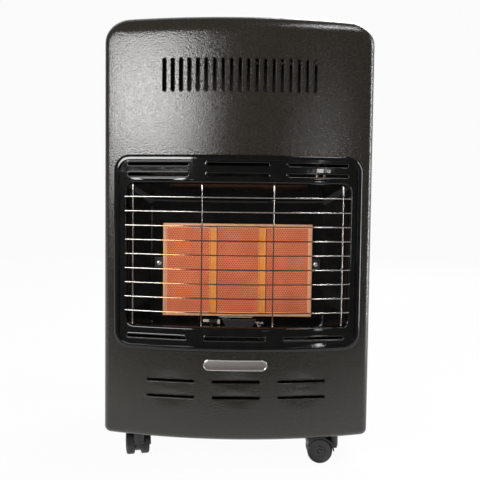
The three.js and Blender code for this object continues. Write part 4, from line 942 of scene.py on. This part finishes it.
shade = Shade("spark_porcelain")
soot = shade.noise(300, 3, 0.6)
glaze = shade.mix(soot.ramp(0.5, 0.75) * 0.4, (0.84, 0.83, 0.79), (0.42, 0.38, 0.33))
wire_end = shade.axes()[2].ramp(0.2268, 0.2273)
porcelain = shade.surface(
    Base_Color=shade.mix(wire_end, glaze, (0.50, 0.48, 0.46)), Metallic=wire_end * 0.9, Roughness=0.16,
    Coat_Weight=0.3)
dressed("ignition_electrode", porcelain, 0.12, angle=50)

shade = Shade("mica_board")
layers = shade.noise(240, 4, 0.6)
board = shade.mix(layers.ramp(0.35, 0.7), (0.007, 0.006, 0.005), (0.013, 0.010, 0.008))
board = shade.mix(shade.axes()[2].ramp(0.2284, 0.2288) * 0.5, board, (0.16, 0.12, 0.08))
mica = shade.surface(
    Base_Color=board, Roughness=layers.spread(0.5, 0.65), Normal=shade.bump(layers, 0.3, 0.0002))
dressed("pilot_shield", mica, 0.2)

# ------------------------
# Casters: black nylon twin-wheel casters. Each has a socket pressed into the base,
# a hood with its pin and web, a steel axle, and two wheels with a soft black tread.
CASTER_PLACES = {
    "front_left": (-156.5, -157, 104), "front_right": (157.5, -157, 180), "rear_left": (-150, 168, 80),
    "rear_right": (150, 168, 60)}
TRAIL, WHEEL_RADIUS, WHEEL_MIDDLE = 22, 20, 11.8
# (radius, distance from the caster's middle)
WHEEL_PROFILE = [
    (3.3, 5.6), (8.2, 5.6), (8.6, 6.2), (15.4, 6.2), (15.8, 5.6), (18.6, 5.6), (19.5, 6.2), (20, 7.4),
    (20, 15.4), (19.6, 16.8), (18.7, 17.7), (17.6, 18), (17.1, 17.8), (16.8, 17.1), (15.9, 16.5),
    (9.2, 15.7), (8.4, 15.9), (7.8, 16.8), (6.8, 17.2), (4.6, 17.2), (3.9, 16.9), (3.3, 16.2),
]


def turned_mesh(name, profile, steps=48):
    """Closed lathe about Z, from (radius, height) pairs in millimetres, walked upwards outside."""
    points, faces = [], []
    count = len(profile)
    for i in range(steps):
        angle = 2 * math.pi * i / steps
        points += [(r * MM * math.cos(angle), r * MM * math.sin(angle), z * MM) for r, z in profile]
        j = (i + 1) % steps
        for k in range(count):
            m = (k + 1) % count
            faces.append((i * count + k, j * count + k, j * count + m, i * count + m))
    mesh = bpy.data.meshes.new(name)
    mesh.from_pydata(points, [], faces)
    work = bmesh.new()
    work.from_mesh(mesh)
    bmesh.ops.remove_doubles(work, verts=work.verts, dist=1e-7)
    bmesh.ops.recalc_face_normals(work, faces=work.faces)
    work.to_mesh(mesh)
    work.free()
    smoothed(mesh).set_sharp_from_angle(angle=math.radians(32))
    return mesh


def moulded_black(name, tone, gloss, scuff_scale):
    """Black nylon: fine spark-eroded grain and pale scuffs."""
    shade = Shade(name)
    erosion = shade.noise(1900, 2, 0.6)
    scuffs = shade.noise(scuff_scale, 4, 0.7).ramp(0.58, 0.75)
    colour = shade.mix(scuffs * 0.5, tone, tuple(c * 2.4 + 0.006 for c in tone))
    return shade.surface(
        Base_Color=colour, Roughness=scuffs * 0.12 + erosion.spread(gloss, gloss + 0.08),
        Normal=shade.bump(erosion, 0.25, 0.0001))


def wheel_mesh(name, x, y, degrees, side):
    """Wheel on one side of a caster, turned about the swivel axis to its place."""
    mesh = turned_mesh(name, WHEEL_PROFILE)
    lie = Matrix.Rotation(math.radians(side * 90), 4, "X")
    mesh.transform(Matrix.Translation((TRAIL * MM, 0, WHEEL_RADIUS * MM)) @ lie)
    mesh.transform(Matrix.Translation((x * MM, y * MM, 0)) @ Matrix.Rotation(math.radians(degrees), 4, "Z"))
    return mesh


def hub(x, y, degrees, side):
    """Middle of the wheel on one side of a caster, seen from above, in metres."""
    turn = Matrix.Rotation(math.radians(degrees), 2)
    return Vector((x, y)) * MM + turn @ Vector((TRAIL * MM, -side * WHEEL_MIDDLE * MM))


nylon = moulded_black("black_nylon", (0.012, 0.012, 0.0125), 0.34, 130)
tread = moulded_black("soft_tread", (0.017, 0.016, 0.016), 0.5, 90)
axle_steel = mottled(
    "axle_steel", ((0.035, 0.035, 0.036), (0.060, 0.058, 0.056)), (800, 2, 0.6), (0.3, 0.7), (0.2, 0.35),
    Metallic=0.7)
for place, (x, y, degrees) in CASTER_PLACES.items():
    body = "swivel_" + place
    dressed("caster_hood_" + place, nylon, 0.55, 3, 35, body)
    dressed("caster_axle_" + place, axle_steel, 0.3, 2, 50, body)
    dressed("caster_socket_" + place, nylon, 0.3, 2, 50)
    for which in "ab":
        node = "caster_wheel_" + which + "_" + place
        low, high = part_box(node)
        middle = ((low + high) / 2).xy
        side = min((1, -1), key=lambda side: (middle - hub(x, y, degrees, side)).length)
        wheel = put(node + "_turned", wheel_mesh(node + "_turned", x, y, degrees, side), tread)
        fitted(wheel, "wheel_" + which + "_" + place, node)

# ------------------------
# Cabinet: sides, top and rear flanges folded from one 1 mm sheet in the same paint
# as the front, spot welded to the base and to the front panel's flange.
shade = Shade("grained_powder_coat_sides")
wrap_paint = powder_coat(
    shade, shade.noise(5, 3, 0.55).ramp(0.35, 0.65), (0.025, 0.0215, 0.0155), shade.noise(900, 3, 0.65), 0.14)
dressed("cabinet_wrap", wrap_paint, 0.35, angle=28)


def plain_coat(name, tone):
    """Thin matt coat on the hidden sheets: faint orange peel, rubbed places, dust."""
    shade = Shade(name)
    peel = shade.noise(480, 3, 0.5)
    rubbed = shade.noise(16, 5, 0.65)
    dust = shade.noise(90, 3, 0.6).ramp(0.55, 0.8)
    colour = shade.mix(rubbed.ramp(0.5, 0.75) * 0.4, tone, tuple(c * 1.7 for c in tone))
    colour = shade.mix(dust * 0.15, colour, (0.16, 0.15, 0.14))
    return shade.surface(
        Base_Color=colour, Roughness=rubbed.spread(0.42, 0.56),
        Normal=shade.bump(peel, 0.3, 0.0003))


plain_paint = plain_coat("plain_dark_coat", (0.021, 0.020, 0.018))
dressed("base_tray", plain_paint, 0.35)
dressed("upper_rear_panel", plain_paint, 0.3)
dressed("rear_cover", plain_coat("rear_cover_coat", (0.024, 0.022, 0.019)), 0.45, body="cover")


def zinc(name, tone):
    """Zinc coated sheet: large soft spangles and white bloom."""
    shade = Shade(name)
    spangle = shade.node("TexVoronoi", {"feature": "F1"}, Scale=110.0, Vector=shade.place())
    facet = Value(shade, spangle.outputs["Color"]).ramp(0.1, 0.9)
    bloom = shade.noise(30, 4, 0.65)
    colour = shade.mix(facet, tone, tuple(c * 0.72 for c in tone))
    colour = shade.mix(bloom.ramp(0.55, 0.8) * 0.5, colour, tuple(c * 1.15 for c in tone))
    return shade.surface(
        Base_Color=colour, Metallic=0.9, Roughness=bloom.spread(0.28, 0.5) + facet * 0.05)


zinc_sheet = zinc("zinc_coated_sheet", (0.50, 0.51, 0.52))
dressed("heat_shield", zinc("heat_darkened_zinc", (0.075, 0.065, 0.06)), 0.25)
for side in ("left", "right"):
    dressed("cover_hook_" + side, zinc_sheet, 0.25)
dressed("gas_rail", zinc_sheet, 0.3)

# ------------------------
# Hand grips and control tray: black ABS mouldings let into the sides and the top,
# with a fine spark-eroded grain.
shell_plastic = moulded_black("grained_black_abs", (0.014, 0.014, 0.0145), 0.4, 60)
for node in ("side_grip_left", "side_grip_right", "control_tray"):
    dressed(node, shell_plastic, 0.5, 3)

# ------------------------
# Gas control: die-cast valve with a brass spindle and hose tail, copper pipes to
# the rail and pilot, a fluted black dial, and a piezo igniter with a red button.
cast_alloy = mottled(
    "die_cast_alloy", ((0.46, 0.46, 0.47), (0.34, 0.34, 0.35)), (60, 3, 0.6), (0.3, 0.7), (0.36, 0.5),
    fine=(520, 3, 0.6), bump=(0.4, 0.0002), Metallic=0.85)
dressed("gas_valve", cast_alloy, 0.8, 3)
brass = mottled(
    "turned_brass", ((0.74, 0.52, 0.22), (0.48, 0.31, 0.13)), (70, 3, 0.6), (0.4, 0.75), (0.2, 0.34),
    fine=(900, 2, 0.5), Metallic=1.0)
dressed("valve_spindle", brass, 0.3, angle=50, body="spindle")
dressed("hose_nozzle", brass, 0.2, angle=50)
copper = mottled(
    "drawn_copper", ((0.78, 0.36, 0.21), (0.34, 0.14, 0.08)), (45, 4, 0.65), (0.4, 0.75), (0.22, 0.42),
    Metallic=1.0)
for pipe in ("burner_pipe", "pilot_pipe"):
    dressed(pipe, copper, 0, angle=60)

KNOB_X, KNOB_Y, KNOB_FOOT = 130, 85, 681.5
GRIP_FOOT = KNOB_FOOT + 3.2
DIAL = {"Flutes": 24, "Grip Radius": 0.017, "Flute Radius": 0.0016, "Grip Height": 0.02}
DIAL_PROFILE = [
    (4.4, 0), (20.2, 0), (20.8, 0.3), (21, 0.9), (21, 1.8), (20.6, 2.6), (19.8, 3.0), (17.6, 3.2), (17.1, 3.6),
    (17, 4.4), (16.4, 14.2), (15.9, 15.1), (15.0, 15.5), (0.0, 15.6), (0.0, 11.6), (4.4, 11.6),
]


def dial_tree():
    """Fluted dial: a turned blank less a ring of round grooves."""
    dial = Maker("fluted_dial", DIAL)
    node, given = dial.node, dial.given
    circle = node(
        "MeshCircle", Vertices=given["Flutes"], Radius=dial.maths("ADD", given["Grip Radius"], 0.0007))
    tool = node("MeshCylinder", Vertices=14, Radius=given["Flute Radius"], Depth=given["Grip Height"])
    tools = node("RealizeInstances", Geometry=node("InstanceOnPoints", Points=circle, Instance=tool))
    lifted = node("Transform", Geometry=tools, Translation=(KNOB_X * MM, KNOB_Y * MM, GRIP_FOOT * MM + 0.01))
    return dial.finish(node(
        "MeshBoolean", {"operation": "DIFFERENCE"}, Mesh_1=given["Geometry"], Mesh_2=lifted))


blank = turned_mesh("dial_blank", DIAL_PROFILE, 96)
blank.transform(Matrix.Translation((KNOB_X * MM, KNOB_Y * MM, KNOB_FOOT * MM)))
dial_plastic = moulded_black("dial_black_abs", (0.012, 0.012, 0.0125), 0.26, 70)
dial = grown("control_dial", blank, dial_tree(), dial_plastic, DIAL)
fitted(dial, "knob", "control_knob")

POINTER_SIZE, POINTER_EDGE = (2.2, 12.5, 1.6), 0.45
POINTER_AWAY, POINTER_UP = 8.6, 16.1
pointer_white = mottled(
    "white_pointer", ((0.78, 0.77, 0.74), (0.62, 0.61, 0.58)), (700, 2, 0.6), (0.4, 0.7), (0.5, 0.5))
rib = bpy.data.meshes.new("dial_pointer")
work = bmesh.new()
bmesh.ops.create_cube(work, size=1.0)
bmesh.ops.scale(work, vec=[size * MM for size in POINTER_SIZE], verts=work.verts)
bmesh.ops.bevel(work, geom=work.edges[:], offset=POINTER_EDGE * MM, segments=3, affect="EDGES",
                clamp_overlap=True)
bmesh.ops.translate(
    work, verts=work.verts, vec=(KNOB_X * MM, (KNOB_Y + POINTER_AWAY) * MM, (KNOB_FOOT + POINTER_UP) * MM))
work.to_mesh(rib)
work.free()
pointer = put("dial_pointer", smoothed(rib), pointer_white)
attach(pointer, "knob")

BUTTON_X, BUTTON_Y = 62, 85
BUTTON_PROFILE = [
    (0, 650), (3, 650), (3, 666), (9, 666), (9, 687.2), (8.7, 688.1), (8.1, 688.7), (7.2, 689), (6.0, 688.9),
    (3.0, 688.1), (0, 687.9)]
dressed("igniter_body", shell_plastic, 0.4, 3, 50)
red_plastic = mottled(
    "red_button", ((0.42, 0.022, 0.016), (0.33, 0.015, 0.012)), (60, 3, 0.6), (0.35, 0.7), (0.2, 0.3),
    fine=(1200, 2, 0.5), bump=(0.1, 0.0001))
button = turned_mesh("igniter_button_cap", BUTTON_PROFILE)
button.transform(Matrix.Translation((BUTTON_X * MM, BUTTON_Y * MM, 0)))
fitted(put("igniter_button_cap", button, red_plastic), "button", "igniter_button")

# Overall size of all that is shown, the white sweep left out.
low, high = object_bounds()
